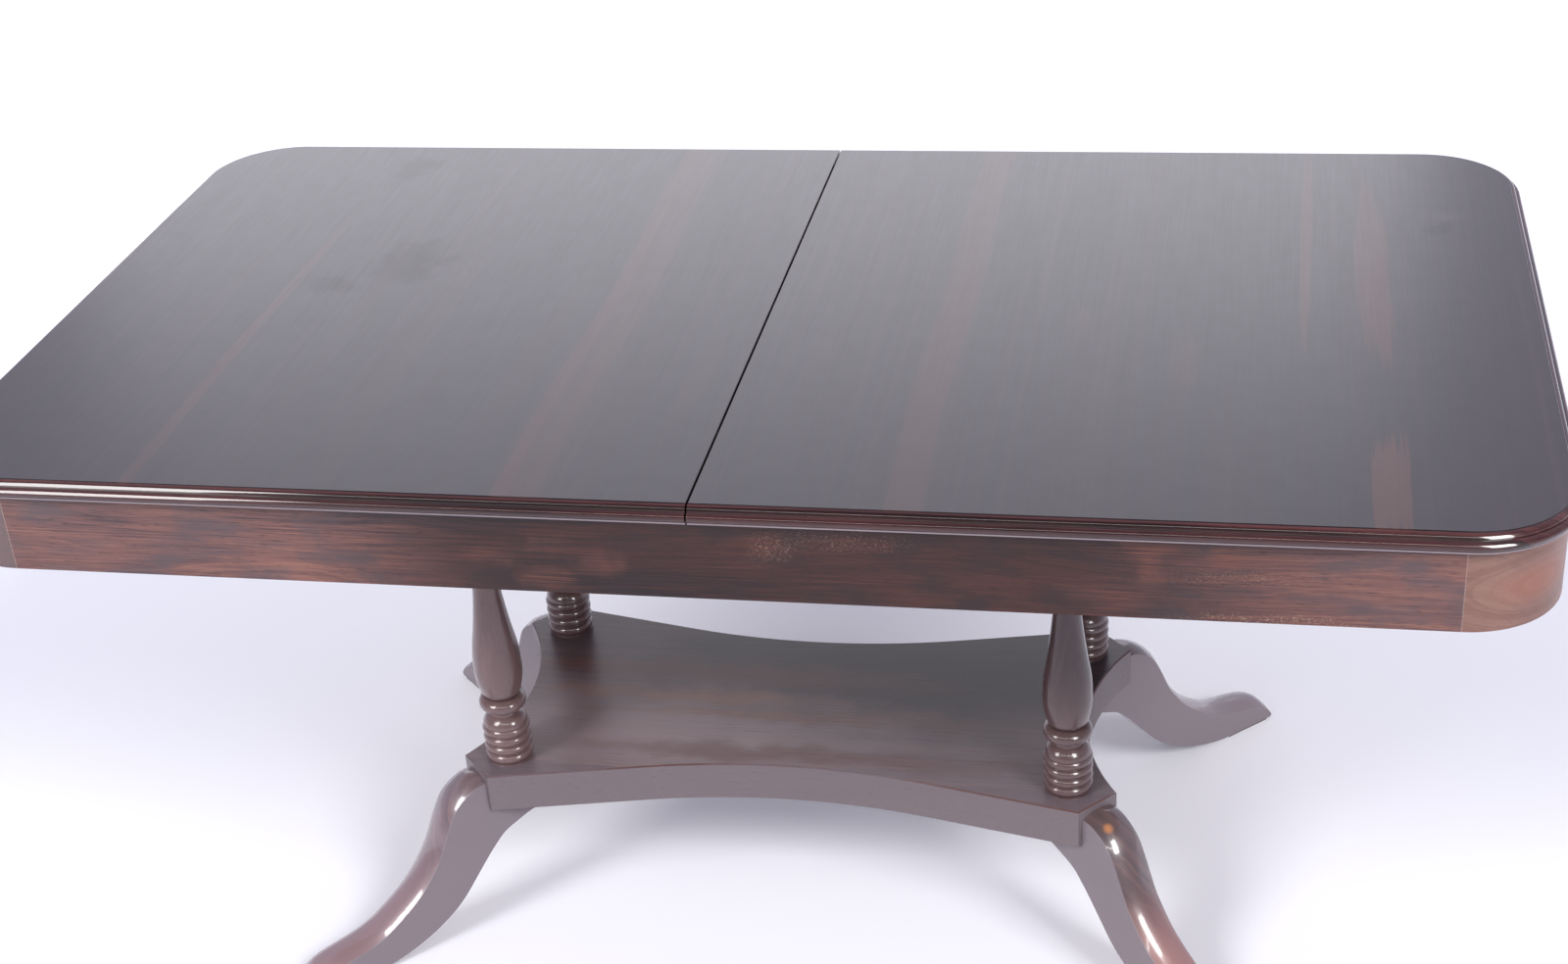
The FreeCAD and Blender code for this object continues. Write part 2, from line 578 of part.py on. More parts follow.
# Guide beams: grooved on both sides, screwed down on the bearers and carried at each end by a block
guide_screws, end_blocks, stop_cleats, leaf_rests = [], [], [], []
for name, side in (("front", -1), ("rear", 1)):
    beam = box(f"-{FRIEZE_INNER_X}", f"{side} * {GUIDE_Y} - guide_width / 2", BEARER_TOP,
               f"2 * {FRIEZE_INNER_X}", "guide_width", f"{GUIDE_TOP} - {BEARER_TOP}")
    tools = []
    for face in (-1, 1):
        tools.append(box(f"-{FRIEZE_INNER_X} - cut_overrun",
                         f"{side} * {GUIDE_Y} + {face} * guide_width / 2 - groove_depth", GROOVE_BOTTOM,
                         f"2 * ({FRIEZE_INNER_X} + cut_overrun)", "2 * groove_depth",
                         "tongue_height + 2 * sliding_play"))
    for side_x in (-1, 1):
        x, y = f"{side_x} * {COLUMN_X}", f"{side} * {GUIDE_Y}"
        tools.append(rod(x, y, f"{BEARER_TOP} - cut_overrun", "guide_screw_radius + joinery_play",
                         f"{GUIDE_TOP} - {BEARER_TOP} + 2 * cut_overrun"))
        tools.append(rod(x, y, f"{GUIDE_TOP} - guide_screw_sink", "guide_screw_head_radius + joinery_play",
                         "guide_screw_sink + cut_overrun"))
        shank = rod(x, y, f"{BEARER_TOP} - guide_screw_bite", "guide_screw_radius",
                    f"{GUIDE_TOP} - guide_screw_sink - {BEARER_TOP} + guide_screw_bite")
        head = rod(x, y, f"{GUIDE_TOP} - guide_screw_sink", "guide_screw_head_radius",
                   "guide_screw_head_height")
        guide_screws.append(fuse([shank, head]))
        end_blocks.append(box(f"{side_x} * ({FRIEZE_INNER_X} - end_block_length / 2) - end_block_length / 2",
                              f"{y} - guide_width / 2 - end_block_margin", BEARER_BOTTOM, "end_block_length",
                              "guide_width + 2 * end_block_margin", f"{BEARER_TOP} - {BEARER_BOTTOM}"))
    for face in (-1, 1):
        lane = f"{side} * {GUIDE_Y} + {face} * (guide_width / 2 + runner_side_play + runner_width / 2)"
        stop_cleats.append(box("-stop_rail_width / 2", f"{lane} - runner_width / 2", BEARER_TOP,
                               "stop_rail_width", "runner_width",
                               f"{RUNNER_BOTTOM} - sliding_play - {BEARER_TOP}"))
    finish(cut(beam, tools), f"guide_beam_{name}")
finish(group(end_blocks), "guide_end_blocks")
finish(group(guide_screws), "guide_screws")
finish(group(stop_cleats), "stop_cleats")
for side_x in (-1, 1):
    leaf_rests.append(box(f"{side_x} * {COLUMN_X} - leaf_rest_width / 2",
                          f"-({LEAF_WIDTH} / 2 - leaf_rest_inset)", BEARER_TOP, "leaf_rest_width",
                          f"{LEAF_WIDTH} - 2 * leaf_rest_inset", "leaf_rest_thickness"))
finish(group(leaf_rests), "leaf_rests")

# Edge moulding: a rounded top, a quirk, a large bead and a narrow fillet under it. Each point is a
# share of the width, outwards from the panel's edge, and of the height, down from its surface,
# with the bow of the edge after it.
moulding_shares = [(0, 1, 0), (0.76, 1, 0), (0.76, 0.870, 0.382), (0.564, 0.362, 0), (0.473, 0.362, 0),
                   (0.473, 0.297, 0.158), (0.073, 0.043, 0), (0, 0.043, 0)]


def moulding_outline(start):
    """Points and arcs of the moulding's section, whose inner edge is at the given distance."""
    points = [(f"{start} + {out} * moulding_width", f"-{down} * moulding_height")
              for out, down, _ in moulding_shares]
    arcs = {index: bow(points, index, share) for index, (_, _, share) in enumerate(moulding_shares) if share}
    return points, arcs


def straight_moulding(length, middle_x, middle_y, angle, top=PANEL_TOP):
    """Length of moulding that faces the way of the angle, centred on a point of the panel's edge."""
    points, arcs = moulding_outline("0")
    strip = padded(points, length, arcs, "XZ_Plane", both_ways=True)
    return place(strip, middle_x, middle_y, top, angle)


def corner_moulding(side_x, side_y):
    """Quarter turn of moulding round a corner of the top."""
    points, arcs = moulding_outline("top_corner_radius - moulding_width")
    strip = turned(points, arcs, angle=90)
    return place(strip, f"{side_x} * {CORNER_X}", f"{side_y} * {CORNER_Y}", PANEL_TOP,
                 90 - 90 * side_x + 45 * side_x * side_y)


# The two halves of the top. The left half carries the seam's dowels and the catches' plates, the
# right half their sockets and studs. Each half has two runners: the left half's run outside the
# guide beams, the right half's inside, and both reach past the seam.
half_seam = "(seam_gap / 2)"
dowel_middle = "(table_height - panel_thickness / 2)"
side_length = f"({CORNER_X} - {half_seam})"
runner_outer = f"({FRIEZE_INNER_X} - {TRAVEL} - runner_end_gap)"
runner_inner = f"(stop_rail_width / 2 + {TRAVEL} + stop_end_play + stop_block_length)"
screw_spacing = f"({runner_outer} - 2 * runner_screw_inset) / (runner_screw_count - 1)"
for half, side in (("left", -1), ("right", 1)):
    corner_edge = "(top_corner_radius - moulding_width)"
    panel_points = [(half_seam, f"-{PANEL_SIDE}"), (CORNER_X, f"-{PANEL_SIDE}"), (PANEL_END, f"-{CORNER_Y}"),
                    (PANEL_END, CORNER_Y), (CORNER_X, PANEL_SIDE), (half_seam, PANEL_SIDE)]
    panel_arcs = {1: (corner_edge, side), 3: (corner_edge, side)}
    panel = padded([(f"{side} * {x}", y) for x, y in panel_points], "panel_thickness", panel_arcs)
    place(panel, "0", "0", PANEL_UNDERSIDE)
    ease_top(panel, "panel_thickness", "panel_arris")
    panel_tools = []

    # runners with their stop blocks and screws
    lane_side = -side
    runners, stop_blocks, screws = [], [], []
    for name, side_y in (("front", -1), ("rear", 1)):
        lane = (f"({side_y} * ({GUIDE_Y} + {lane_side} * "
                "(guide_width / 2 + runner_side_play + runner_width / 2)))")
        tongue_side = -lane_side * side_y
        own = box(f"{side} * ({runner_outer} + {half_seam}) / 2 - ({runner_outer} - {half_seam}) / 2",
                  f"{lane} - runner_width / 2", RUNNER_BOTTOM,
                  f"{runner_outer} - {half_seam}", "runner_width", "runner_height")
        beyond = box(f"{-side} * ({runner_inner} - {half_seam}) / 2 - ({runner_inner} + {half_seam}) / 2",
                     f"{lane} - runner_width / 2", RUNNER_BOTTOM,
                     f"{runner_inner} + {half_seam}", "runner_width", "runner_height - sliding_play")
        whole = f"({runner_outer} + {runner_inner})"
        tongue = box(f"{side} * ({runner_outer} - {runner_inner}) / 2 - {whole} / 2",
                     f"{lane} + {tongue_side} * (runner_width / 2 + groove_depth / 2) - groove_depth / 2",
                     f"{GROOVE_BOTTOM} + sliding_play", whole, "groove_depth", "tongue_height")
        holes = []
        for number in range(SIZES["runner_screw_count"]):
            x = f"{side} * (runner_screw_inset + {number} * {screw_spacing})"
            head_z = f"{RUNNER_BOTTOM} + runner_screw_sink"
            reach = "runner_height - runner_screw_sink + runner_screw_bite"
            holes.append(rod(x, lane, f"{RUNNER_BOTTOM} - cut_overrun", "runner_screw_radius + joinery_play",
                             "runner_height + 2 * cut_overrun"))
            holes.append(rod(x, lane, f"{RUNNER_BOTTOM} - cut_overrun",
                             "runner_screw_head_radius + joinery_play",
                             "runner_screw_sink + runner_screw_head_height + cut_overrun"))
            screws.append(screw(x, lane, head_z, "runner_screw_radius", reach, "runner_screw_head_radius",
                                "runner_screw_head_height"))
            panel_tools.append(rod(x, lane, f"{PANEL_UNDERSIDE} - cut_overrun",
                                   "runner_screw_radius + joinery_play",
                                   "runner_screw_bite + joinery_play + cut_overrun"))
        finish(cut(fuse([own, beyond, tongue]), holes), f"runner_{half}_{name}")
        stop_blocks.append(box(f"{-side} * ({runner_inner} - stop_block_length / 2) - stop_block_length / 2",
                               f"{lane} - runner_width / 2", f"{RUNNER_BOTTOM} - stop_block_height",
                               "stop_block_length", "runner_width", "stop_block_height"))
    finish(group(stop_blocks), f"{half}_stop_blocks")
    finish(group(screws), f"{half}_runner_screws")

    # seam dowels or their sockets
    dowel_places = [f"{number} * seam_dowel_spacing" for number in (-1, 0, 1)]
    if half == "left":
        start_x, depth, play = f"-{half_seam} - seam_dowel_sunk", "seam_dowel_sunk", "joinery_play"
    else:
        start_x, depth, play = f"{half_seam} - cut_overrun", "seam_dowel_socket", "sliding_play"
    for y in dowel_places:
        panel_tools.append(rod(start_x, y, dowel_middle, f"seam_dowel_radius + {play}",
                               f"{depth} + cut_overrun", "X"))
    finish(cut(panel, panel_tools), f"top_panel_{half}")

    # moulding round the half
    middle_x = f"{side} * ({CORNER_X} + {half_seam}) / 2"
    finish(straight_moulding(side_length, middle_x, f"-{PANEL_SIDE}", -90), f"moulding_front_{half}")
    finish(straight_moulding(side_length, middle_x, PANEL_SIDE, 90), f"moulding_rear_{half}")
    finish(straight_moulding(f"2 * {CORNER_Y}", f"{side} * {PANEL_END}", "0", 90 - 90 * side),
           f"moulding_end_{half}")
    for name, side_y in (("front", -1), ("rear", 1)):
        finish(corner_moulding(side, side_y), f"moulding_corner_{name}_{half}")
finish(group([rod(f"-{half_seam} - seam_dowel_sunk", y, dowel_middle, "seam_dowel_radius",
                  "seam_dowel_sunk + seam_dowel_reach", "X") for y in dowel_places]), "seam_dowels")

# Spare leaf, stored in the frame a quarter turn round from the way it is used
leaf_underside = f"({BEARER_TOP} + leaf_rest_thickness)"
leaf_middle = f"({leaf_underside} + panel_thickness / 2)"
leaf_board = box(f"-{PANEL_SIDE}", f"-{LEAF_WIDTH} / 2", leaf_underside, f"2 * {PANEL_SIDE}", LEAF_WIDTH,
                 "panel_thickness")
sockets = [rod(x, f"-{LEAF_WIDTH} / 2 - cut_overrun", leaf_middle, "seam_dowel_radius + sliding_play",
               "seam_dowel_socket + cut_overrun", "Y") for x in dowel_places]
seats = [rod(x, f"{LEAF_WIDTH} / 2 - seam_dowel_sunk", leaf_middle, "seam_dowel_radius + joinery_play",
             "seam_dowel_sunk + cut_overrun", "Y") for x in dowel_places]
finish(cut(leaf_board, sockets + seats), "leaf_panel")
finish(group([rod(x, f"{LEAF_WIDTH} / 2 - seam_dowel_sunk", leaf_middle, "seam_dowel_radius",
                  "seam_dowel_sunk + seam_dowel_reach", "Y") for x in dowel_places]), "leaf_dowels")
leaf_surface = f"{leaf_underside} + panel_thickness"
finish(group([straight_moulding(LEAF_WIDTH, f"{side} * {PANEL_SIDE}", "0", 90 - 90 * side, leaf_surface)
              for side in (-1, 1)]), "leaf_mouldings")

# Swivel catches: a plate with a boss and a headed pin under the left half, a hooked lever on the
# pin, and a plate with a stud under the right half. The levers are swung clear, pointing outwards.
lever_top = f"({PANEL_UNDERSIDE} - catch_plate_thickness - catch_boss_height - catch_lever_play)"
lever_bottom = f"({lever_top} - catch_lever_thickness)"
head_bottom = f"({lever_bottom} - catch_lever_play - catch_head_height)"
plates, keepers = [], []
for name, side_y in (("front", -1), ("rear", 1)):
    y = f"{side_y} * ({FRIEZE_INNER_Y} - 2 * catch_setback - catch_nose - catch_side_play)"
    for side, pieces in ((-1, plates), (1, keepers)):
        x = f"{side} * catch_setback"
        parts = [box(f"{x} - catch_plate_length / 2", f"{y} - catch_plate_width / 2",
                     f"{PANEL_UNDERSIDE} - catch_plate_thickness", "catch_plate_length", "catch_plate_width",
                     "catch_plate_thickness")]
        if side < 0:
            parts.append(rod(x, y, f"{lever_top} + catch_lever_play", "catch_boss_radius",
                             "catch_boss_height + catch_plate_thickness / 2"))
            parts.append(rod(x, y, head_bottom, "catch_pin_radius",
                             f"{PANEL_UNDERSIDE} - {head_bottom} - catch_plate_thickness / 2"))
            parts.append(rod(x, y, head_bottom, "catch_head_radius", "catch_head_height"))
        else:
            parts.append(rod(x, y, f"{PANEL_UNDERSIDE} - catch_plate_thickness - catch_stud_length",
                             "catch_pin_radius", "catch_stud_length + catch_plate_thickness / 2"))
        pieces.append(fuse(parts))

    # lever: an eye, an arm and a hook whose slot follows the stud's path about the pin
    x = "-catch_setback"
    span = "(2 * catch_setback)"
    slot = "(catch_pin_radius + catch_slot_play)"
    arm_end = f"({span} + catch_nose)"
    eye = rod(x, y, lever_bottom, "catch_lever_eye_radius", "catch_lever_thickness")
    arm = box(f"{x} - catch_lever_half_width", f"{y} + {(side_y - 1) // 2} * {arm_end}", lever_bottom,
              "2 * catch_lever_half_width", arm_end, "catch_lever_thickness")
    below = f"{lever_bottom} - cut_overrun"
    through = "catch_lever_thickness + 2 * cut_overrun"
    bore = rod(x, y, below, "catch_pin_radius + catch_pin_play", through)
    seat = rod(x, f"{y} + {side_y} * {span}", below, slot, through)
    outer = rod(x, y, below, f"{span} + {slot}", through)
    inner = rod(x, y, f"{below} - cut_overrun", f"{span} - {slot}", f"{through} + 2 * cut_overrun")
    beside = box(x, f"{y} + {(side_y - 1) // 2} * 2 * {arm_end}", below, f"2 * {arm_end}", f"2 * {arm_end}",
                 through)
    sweep = doc.addObject("Part::Common", "Sweep")
    sweep.Base = cut(outer, [inner])
    sweep.Tool = beside
    finish(cut(fuse([eye, arm]), [bore, seat, sweep]), f"catch_lever_{name}")
finish(group(plates), "catch_plates")
finish(group(keepers), "catch_keepers")

# Check every object, then write each piece to its own file
doc.recompute()
faults = [item.Label for item in doc.Objects if {"Invalid", "Error"} & set(item.State)]
for piece in nodes:
    if piece.Shape.isNull() or not piece.Shape.isValid() or not piece.Shape.Solids:
        faults.append(piece.Label)
if faults:
    raise RuntimeError(f"objects that failed: {faults}")
os.makedirs("parts", exist_ok=True)
for piece in nodes:
    piece.Shape.exportStep(os.path.join("parts", f"{piece.Label}.step"))
    print(f"{piece.Label}: {len(piece.Shape.Solids)} solids, {piece.Shape.Volume / 1000:.1f} cm3")
print(f"{len(nodes)} nodes")
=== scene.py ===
import bpy
import bmesh
import math
from mathutils import Matrix, Vector


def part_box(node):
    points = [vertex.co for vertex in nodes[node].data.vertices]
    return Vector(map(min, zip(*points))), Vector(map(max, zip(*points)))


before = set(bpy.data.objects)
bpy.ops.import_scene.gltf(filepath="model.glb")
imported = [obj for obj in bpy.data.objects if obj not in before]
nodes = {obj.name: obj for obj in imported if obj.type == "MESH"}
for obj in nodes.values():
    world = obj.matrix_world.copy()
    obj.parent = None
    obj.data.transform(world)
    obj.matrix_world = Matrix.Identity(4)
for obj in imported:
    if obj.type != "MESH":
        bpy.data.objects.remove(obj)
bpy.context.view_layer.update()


# Studio: a seamless white paper floor in a pale room, which is darker behind the camera. Two soft lamps
# light the table from the left and the right. Two strips near its front corners, a bar in front of it
# and a softbox behind it are there only to be mirrored in the polish.
CAMERA_PLACE = Vector((0.5081, -2.3061, 1.8351))
CAMERA_YAW, CAMERA_PITCH, CAMERA_ROLL = 12.537, 29.117, -4.213
FOCAL_SHARE = 2390.9 / 1600
SENSOR_WIDTH = 36
FLOOR_SIDE = 24
FLOOR_GLOW = 0.10
ROOM_LIGHT = 0.66
# each lamp's name, heading and height in degrees, and strength
FILLS = (("left_fill", -41, 38, 1.75), ("right_fill", 50, 38, 1.75))
FILL_SPREAD = 20
# each lamp's name, place, target, width and height in metres, and power
MIRRORED = (("left_strip", (-0.95, -1.05, 1.0), (-0.35, -0.2, 0.4), 0.40, 0.70, 15),
            ("right_strip", (1.12, -1.05, 1.0), (0.4, -0.2, 0.4), 0.36, 0.70, 20),
            ("front_bar", (0.1, -2.7, 2.1), (0.1, -0.4, 0.75), 3.4, 0.14, 22),
            ("rear_softbox", (-0.62, 2.2, 1.35), (-0.62, 0.0, 1.35), 2.95, 1.20, 12.0))


def linear(hex_colour):
    """Linear colour of an sRGB hex value."""
    shares = [int(hex_colour[start:start + 2], 16) / 255 for start in (1, 3, 5)]
    return tuple(share / 12.92 if share <= 0.04045 else ((share + 0.055) / 1.055) ** 2.4
                 for share in shares) + (1.0,)


def add(tree, kind, inputs=None, **settings):
    """Shader node with its settings; each input is a value or the socket that feeds it.

    Where a node's sockets share a name, they go by number. On the node that mixes colours, 0 is the
    share, 6 and 7 are the two colours, and output 2 is the mixed colour.
    """
    node = tree.nodes.new(kind)
    for name, setting in settings.items():
        setattr(node, name, setting)
    for name, source in (inputs or {}).items():
        if isinstance(source, bpy.types.NodeSocket):
            tree.links.new(source, node.inputs[name])
        else:
            node.inputs[name].default_value = source
    return node


camera = bpy.data.objects.new("camera", bpy.data.cameras.new("camera"))
camera.data.sensor_width = SENSOR_WIDTH
camera.data.lens = SENSOR_WIDTH * FOCAL_SHARE
camera.matrix_world = (Matrix.Translation(CAMERA_PLACE)
                       @ Matrix.Rotation(math.radians(CAMERA_YAW), 4, "Z")
                       @ Matrix.Rotation(math.radians(90 - CAMERA_PITCH), 4, "X")
                       @ Matrix.Rotation(math.radians(CAMERA_ROLL), 4, "Z"))
bpy.context.scene.collection.objects.link(camera)
bpy.context.scene.camera = camera
bpy.context.scene.view_settings.view_transform = "Standard"

# matt paper, white and glowing a little for the camera, but grey to the light that it throws back
floor_mesh = bmesh.new()
bmesh.ops.create_grid(floor_mesh, x_segments=1, y_segments=1, size=FLOOR_SIDE / 2)
floor = bpy.data.objects.new("paper_floor", bpy.data.meshes.new("paper_floor"))
floor_mesh.to_mesh(floor.data)
floor_mesh.free()
bpy.context.scene.collection.objects.link(floor)
paper = bpy.data.materials.new("matt_white_paper")
paper.use_nodes = True
tree = paper.node_tree
tree.nodes.clear()
path = add(tree, "ShaderNodeLightPath")
seen = add(tree, "ShaderNodeMath", {0: path.outputs["Is Camera Ray"], 1: path.outputs["Is Glossy Ray"]},
           operation="MAXIMUM")
share = add(tree, "ShaderNodeMath", {0: seen.outputs[0], 1: FLOOR_GLOW}, operation="MULTIPLY")
shade = add(tree, "ShaderNodeMix", {0: seen.outputs[0], 6: linear("#c4c4c8"), 7: linear("#fafaff")},
            data_type="RGBA")
lit = add(tree, "ShaderNodeBsdfDiffuse", {"Color": shade.outputs[2]})
white = add(tree, "ShaderNodeEmission", {"Color": linear("#fcfcff"), "Strength": 1.0})
mixed = add(tree, "ShaderNodeMixShader", {0: share.outputs[0], 1: lit.outputs[0], 2: white.outputs[0]})
add(tree, "ShaderNodeOutputMaterial", {"Surface": mixed.outputs[0]})
floor.data.materials.append(paper)

# the room gives a faintly blue light, is white to the camera, and is mirrored paler behind the table
world = bpy.data.worlds.new("studio")
bpy.context.scene.world = world
world.use_nodes = True
tree = world.node_tree
tree.nodes.clear()
path = add(tree, "ShaderNodeLightPath")
ambient = add(tree, "ShaderNodeBackground", {"Color": linear("#e9e9ff"), "Strength": ROOM_LIGHT})
toward = add(tree, "ShaderNodeSeparateXYZ", {0: add(tree, "ShaderNodeTexCoord").outputs["Generated"]})
behind = add(tree, "ShaderNodeMapRange", {"Value": toward.outputs["Y"], "From Min": -0.5, "From Max": 0.3},
             interpolation_type="SMOOTHSTEP")
mirrored = add(tree, "ShaderNodeMix", {0: behind.outputs[0], 6: linear("#5c5e6c"), 7: linear("#cac9de")},
               data_type="RGBA")
pale = add(tree, "ShaderNodeBackground", {"Color": mirrored.outputs[2], "Strength": 1.0})
white = add(tree, "ShaderNodeBackground", {"Color": linear("#fbfbff"), "Strength": 1.0})
room = add(tree, "ShaderNodeMixShader", {0: path.outputs["Is Glossy Ray"], 1: ambient.outputs[0],
                                         2: pale.outputs[0]})
mixed = add(tree, "ShaderNodeMixShader", {0: path.outputs["Is Camera Ray"], 1: room.outputs[0],
                                          2: white.outputs[0]})
add(tree, "ShaderNodeOutputWorld", {"Surface": mixed.outputs[0]})

# the two soft lamps aren't mirrored
for name, heading, height, strength in FILLS:
    lamp = bpy.data.objects.new(name, bpy.data.lights.new(name, "SUN"))
    lamp.data.energy = strength
    lamp.data.angle = math.radians(FILL_SPREAD)
    lamp.visible_glossy = False
    lamp.matrix_world = (Matrix.Rotation(math.radians(heading), 4, "Z")
                         @ Matrix.Rotation(math.radians(90 - height), 4, "X"))
    bpy.context.scene.collection.objects.link(lamp)

# the strips and the bar glint on edges and turnings, and leave out the panels, whose haze would
# smear them into a glare
glinting = bpy.data.collections.new("glinting")
for name, node in nodes.items():
    if "panel" not in name:
        glinting.objects.link(node)
for name, place, target, width, height, power in MIRRORED:
    lamp = bpy.data.objects.new(name, bpy.data.lights.new(name, "AREA"))
    lamp.data.shape = "RECTANGLE"
    lamp.data.size, lamp.data.size_y = width, height
    lamp.data.energy = power
    lamp.visible_camera = False
    lamp.visible_diffuse = False
    if name != "rear_softbox":
        lamp.light_linking.receiver_collection = glinting
    aim = (Vector(target) - Vector(place)).to_track_quat("-Z", "Y").to_matrix().to_4x4()
    lamp.matrix_world = Matrix.Translation(place) @ aim
    bpy.context.scene.collection.objects.link(lamp)


# Platform: a thick rosewood board with hollowed sides, planed, stained and waxed. Its grain runs
# along the table. Its arrises are worn back to redder wood, and the legs are screwed up under it.
MM = 1000
ALONG_X = (0, 0, 0)
ALONG_Y = (0, 0, -math.pi / 2)
ALONG_Z = (0, math.pi / 2, 0)
DRIFT_SIZE, CLOUD_SIZE, CLOUD_SHARE = 75, 60, 0.9
FIBRES_PER_MM, FIBRE_SHORTENING = 0.55, 0.02
PORES_PER_MM, PORE_SHORTENING, PORE_DARK = 0.8, 0.09, "#120b0a"
TONE_REACH, TONE_OVERLAP = 0.275, 0.025
GRAIN_DEPTH = 0.0002
PLATFORM_TOP = 213
# patches of the board's figure, with a painted shadow of the top on its rear right (the first) and painted
# light on its front left (the second): middle and reach in millimetres, strength, and colour
BOARD_FIGURE_LIGHT_SHADE = (((160, 75, PLATFORM_TOP), (380, 120, 60), 1.0, "#2e252b"),
                ((-190, -70, PLATFORM_TOP), (230, 70, 60), 0.6, "#9a898d"),
                ((-120, 52, PLATFORM_TOP), (240, 22, 60), 0.5, "#6b4238"),
                ((-150, 2, PLATFORM_TOP), (150, 12, 60), 0.6, "#8a6252"),
                ((-90, -32, PLATFORM_TOP), (130, 9, 60), 0.45, "#7d5848"),
                ((0, -112, PLATFORM_TOP), (220, 14, 60), 0.6, "#5c3a34"),
                ((90, -30, PLATFORM_TOP), (150, 16, 60), 0.4, "#6b4a42"))
BOARD_SWAY = (200, 60, 0)
ARRIS_TILT, ARRIS_REACH = 0.707, 0.2


def in_millimetres(tree):
    """Place on the piece, in millimetres, in the table's own frame."""
    place = add(tree, "ShaderNodeTexCoord").outputs["Object"]
    return add(tree, "ShaderNodeVectorMath", {0: place, 1: (MM, MM, MM)}, operation="MULTIPLY").outputs[0]


def timber(name, turn, ring, wander, hues, stretch=6, pores=0.45, fine=0.35, lines=1.0, knots=()):
    """Wood whose grain runs along the turned X axis, with rings of that width in millimetres.

    Growth rings are drawn as the height lines of a slow drift, which wander sideways by a few
    rings, bend round the knots and close in places, as in sawn veneer. Rings, fine fibres and broad
    clouds add up to one tone, which runs through three hues from dark to light.
    """
    material = bpy.data.materials.new(name)
    material.use_nodes = True
    tree = material.node_tree
    place = in_millimetres(tree)
    laid = add(tree, "ShaderNodeMapping", {"Vector": place, "Rotation": turn}).outputs[0]

    drawn = add(tree, "ShaderNodeVectorMath", {0: laid, 1: (1 / stretch, 1, 1)}, operation="MULTIPLY")
    drift = add(tree, "ShaderNodeTexNoise", {"Vector": drawn.outputs[0], "Scale": 1 / DRIFT_SIZE,
                                             "Detail": 2.0})
    across = add(tree, "ShaderNodeVectorMath", {0: laid, 1: (0, 1 / ring, 0.6 / ring)},
                 operation="DOT_PRODUCT")
    height = add(tree, "ShaderNodeMath", {0: drift.outputs["Fac"], 1: wander / ring,
                                          2: across.outputs["Value"]}, operation="MULTIPLY_ADD").outputs[0]
    for centre, reach, lift in knots:
        swell = patch(tree, laid, centre, reach, 1.0)
        height = add(tree, "ShaderNodeMath", {0: swell, 1: lift, 2: height},
                     operation="MULTIPLY_ADD").outputs[0]
    rings = add(tree, "ShaderNodeTexNoise", {"W": height, "Scale": 1.0, "Detail": 3.0, "Roughness": 0.6},
                noise_dimensions="1D")
    fibre_place = add(tree, "ShaderNodeVectorMath", {0: laid, 1: (FIBRE_SHORTENING, 1, 1)},
                      operation="MULTIPLY")
    fibre = add(tree, "ShaderNodeTexNoise", {"Vector": fibre_place.outputs[0], "Scale": FIBRES_PER_MM,
                                             "Detail": 3.0})
    cloud = add(tree, "ShaderNodeTexNoise", {"Vector": drawn.outputs[0], "Scale": 1 / CLOUD_SIZE,
                                             "Detail": 3.0})

    tone = add(tree, "ShaderNodeMath", {0: rings.outputs["Fac"], 1: lines}, operation="MULTIPLY")
    tone = add(tree, "ShaderNodeMath", {0: fibre.outputs["Fac"], 1: fine, 2: tone.outputs[0]},
               operation="MULTIPLY_ADD")
    tone = add(tree, "ShaderNodeMath", {0: cloud.outputs["Fac"], 1: CLOUD_SHARE, 2: tone.outputs[0]},
               operation="MULTIPLY_ADD")
    middle = CLOUD_SHARE / 2 + lines / 2 + fine / 2
    low = add(tree, "ShaderNodeMapRange", {"Value": tone.outputs[0], "From Min": middle - TONE_REACH,
                                           "From Max": middle + TONE_OVERLAP},
              interpolation_type="SMOOTHSTEP")
    high = add(tree, "ShaderNodeMapRange", {"Value": tone.outputs[0], "From Min": middle - TONE_OVERLAP,
                                            "From Max": middle + TONE_REACH},
               interpolation_type="SMOOTHSTEP")
    dark_mid = add(tree, "ShaderNodeMix", {0: low.outputs[0], 6: linear(hues[0]), 7: linear(hues[1])},
                   data_type="RGBA")
    body = add(tree, "ShaderNodeMix", {0: high.outputs[0], 6: dark_mid.outputs[2], 7: linear(hues[2])},
               data_type="RGBA")

    # open pores: dark dashes a few millimetres long, drawn a little wide so that they show
    pore_place = add(tree, "ShaderNodeVectorMath", {0: laid, 1: (PORE_SHORTENING, 1, 1)},
                     operation="MULTIPLY")
    pore = add(tree, "ShaderNodeTexNoise", {"Vector": pore_place.outputs[0], "Scale": PORES_PER_MM,
                                            "Detail": 1.0})
    dash = add(tree, "ShaderNodeMapRange", {"Value": pore.outputs["Fac"], "From Min": 0.60,
                                            "From Max": 0.72, "To Max": pores})
    colour = add(tree, "ShaderNodeMix", {0: dash.outputs[0], 6: body.outputs[2], 7: linear(PORE_DARK)},
                 data_type="RGBA")
    return {"material": material, "tree": tree, "place": place, "laid": laid, "colour": colour.outputs[2],
            "fibre": fibre.outputs["Fac"], "cloud": cloud.outputs["Fac"]}


def patch(tree, place, centre, reach, soft):
    """Mask of an ellipsoid at a place in millimetres: 1 inside, 0 outside, with a soft edge."""
    offset = add(tree, "ShaderNodeVectorMath", {0: place, 1: centre}, operation="SUBTRACT")
    scaled = add(tree, "ShaderNodeVectorMath", {0: offset.outputs[0], 1: reach}, operation="DIVIDE")
    distance = add(tree, "ShaderNodeVectorMath", {0: scaled.outputs[0]}, operation="LENGTH")
    mask = add(tree, "ShaderNodeMapRange", {"Value": distance.outputs["Value"], "From Min": 1 + soft,
                                            "From Max": 1 - soft}, interpolation_type="SMOOTHSTEP")
    return mask.outputs[0]


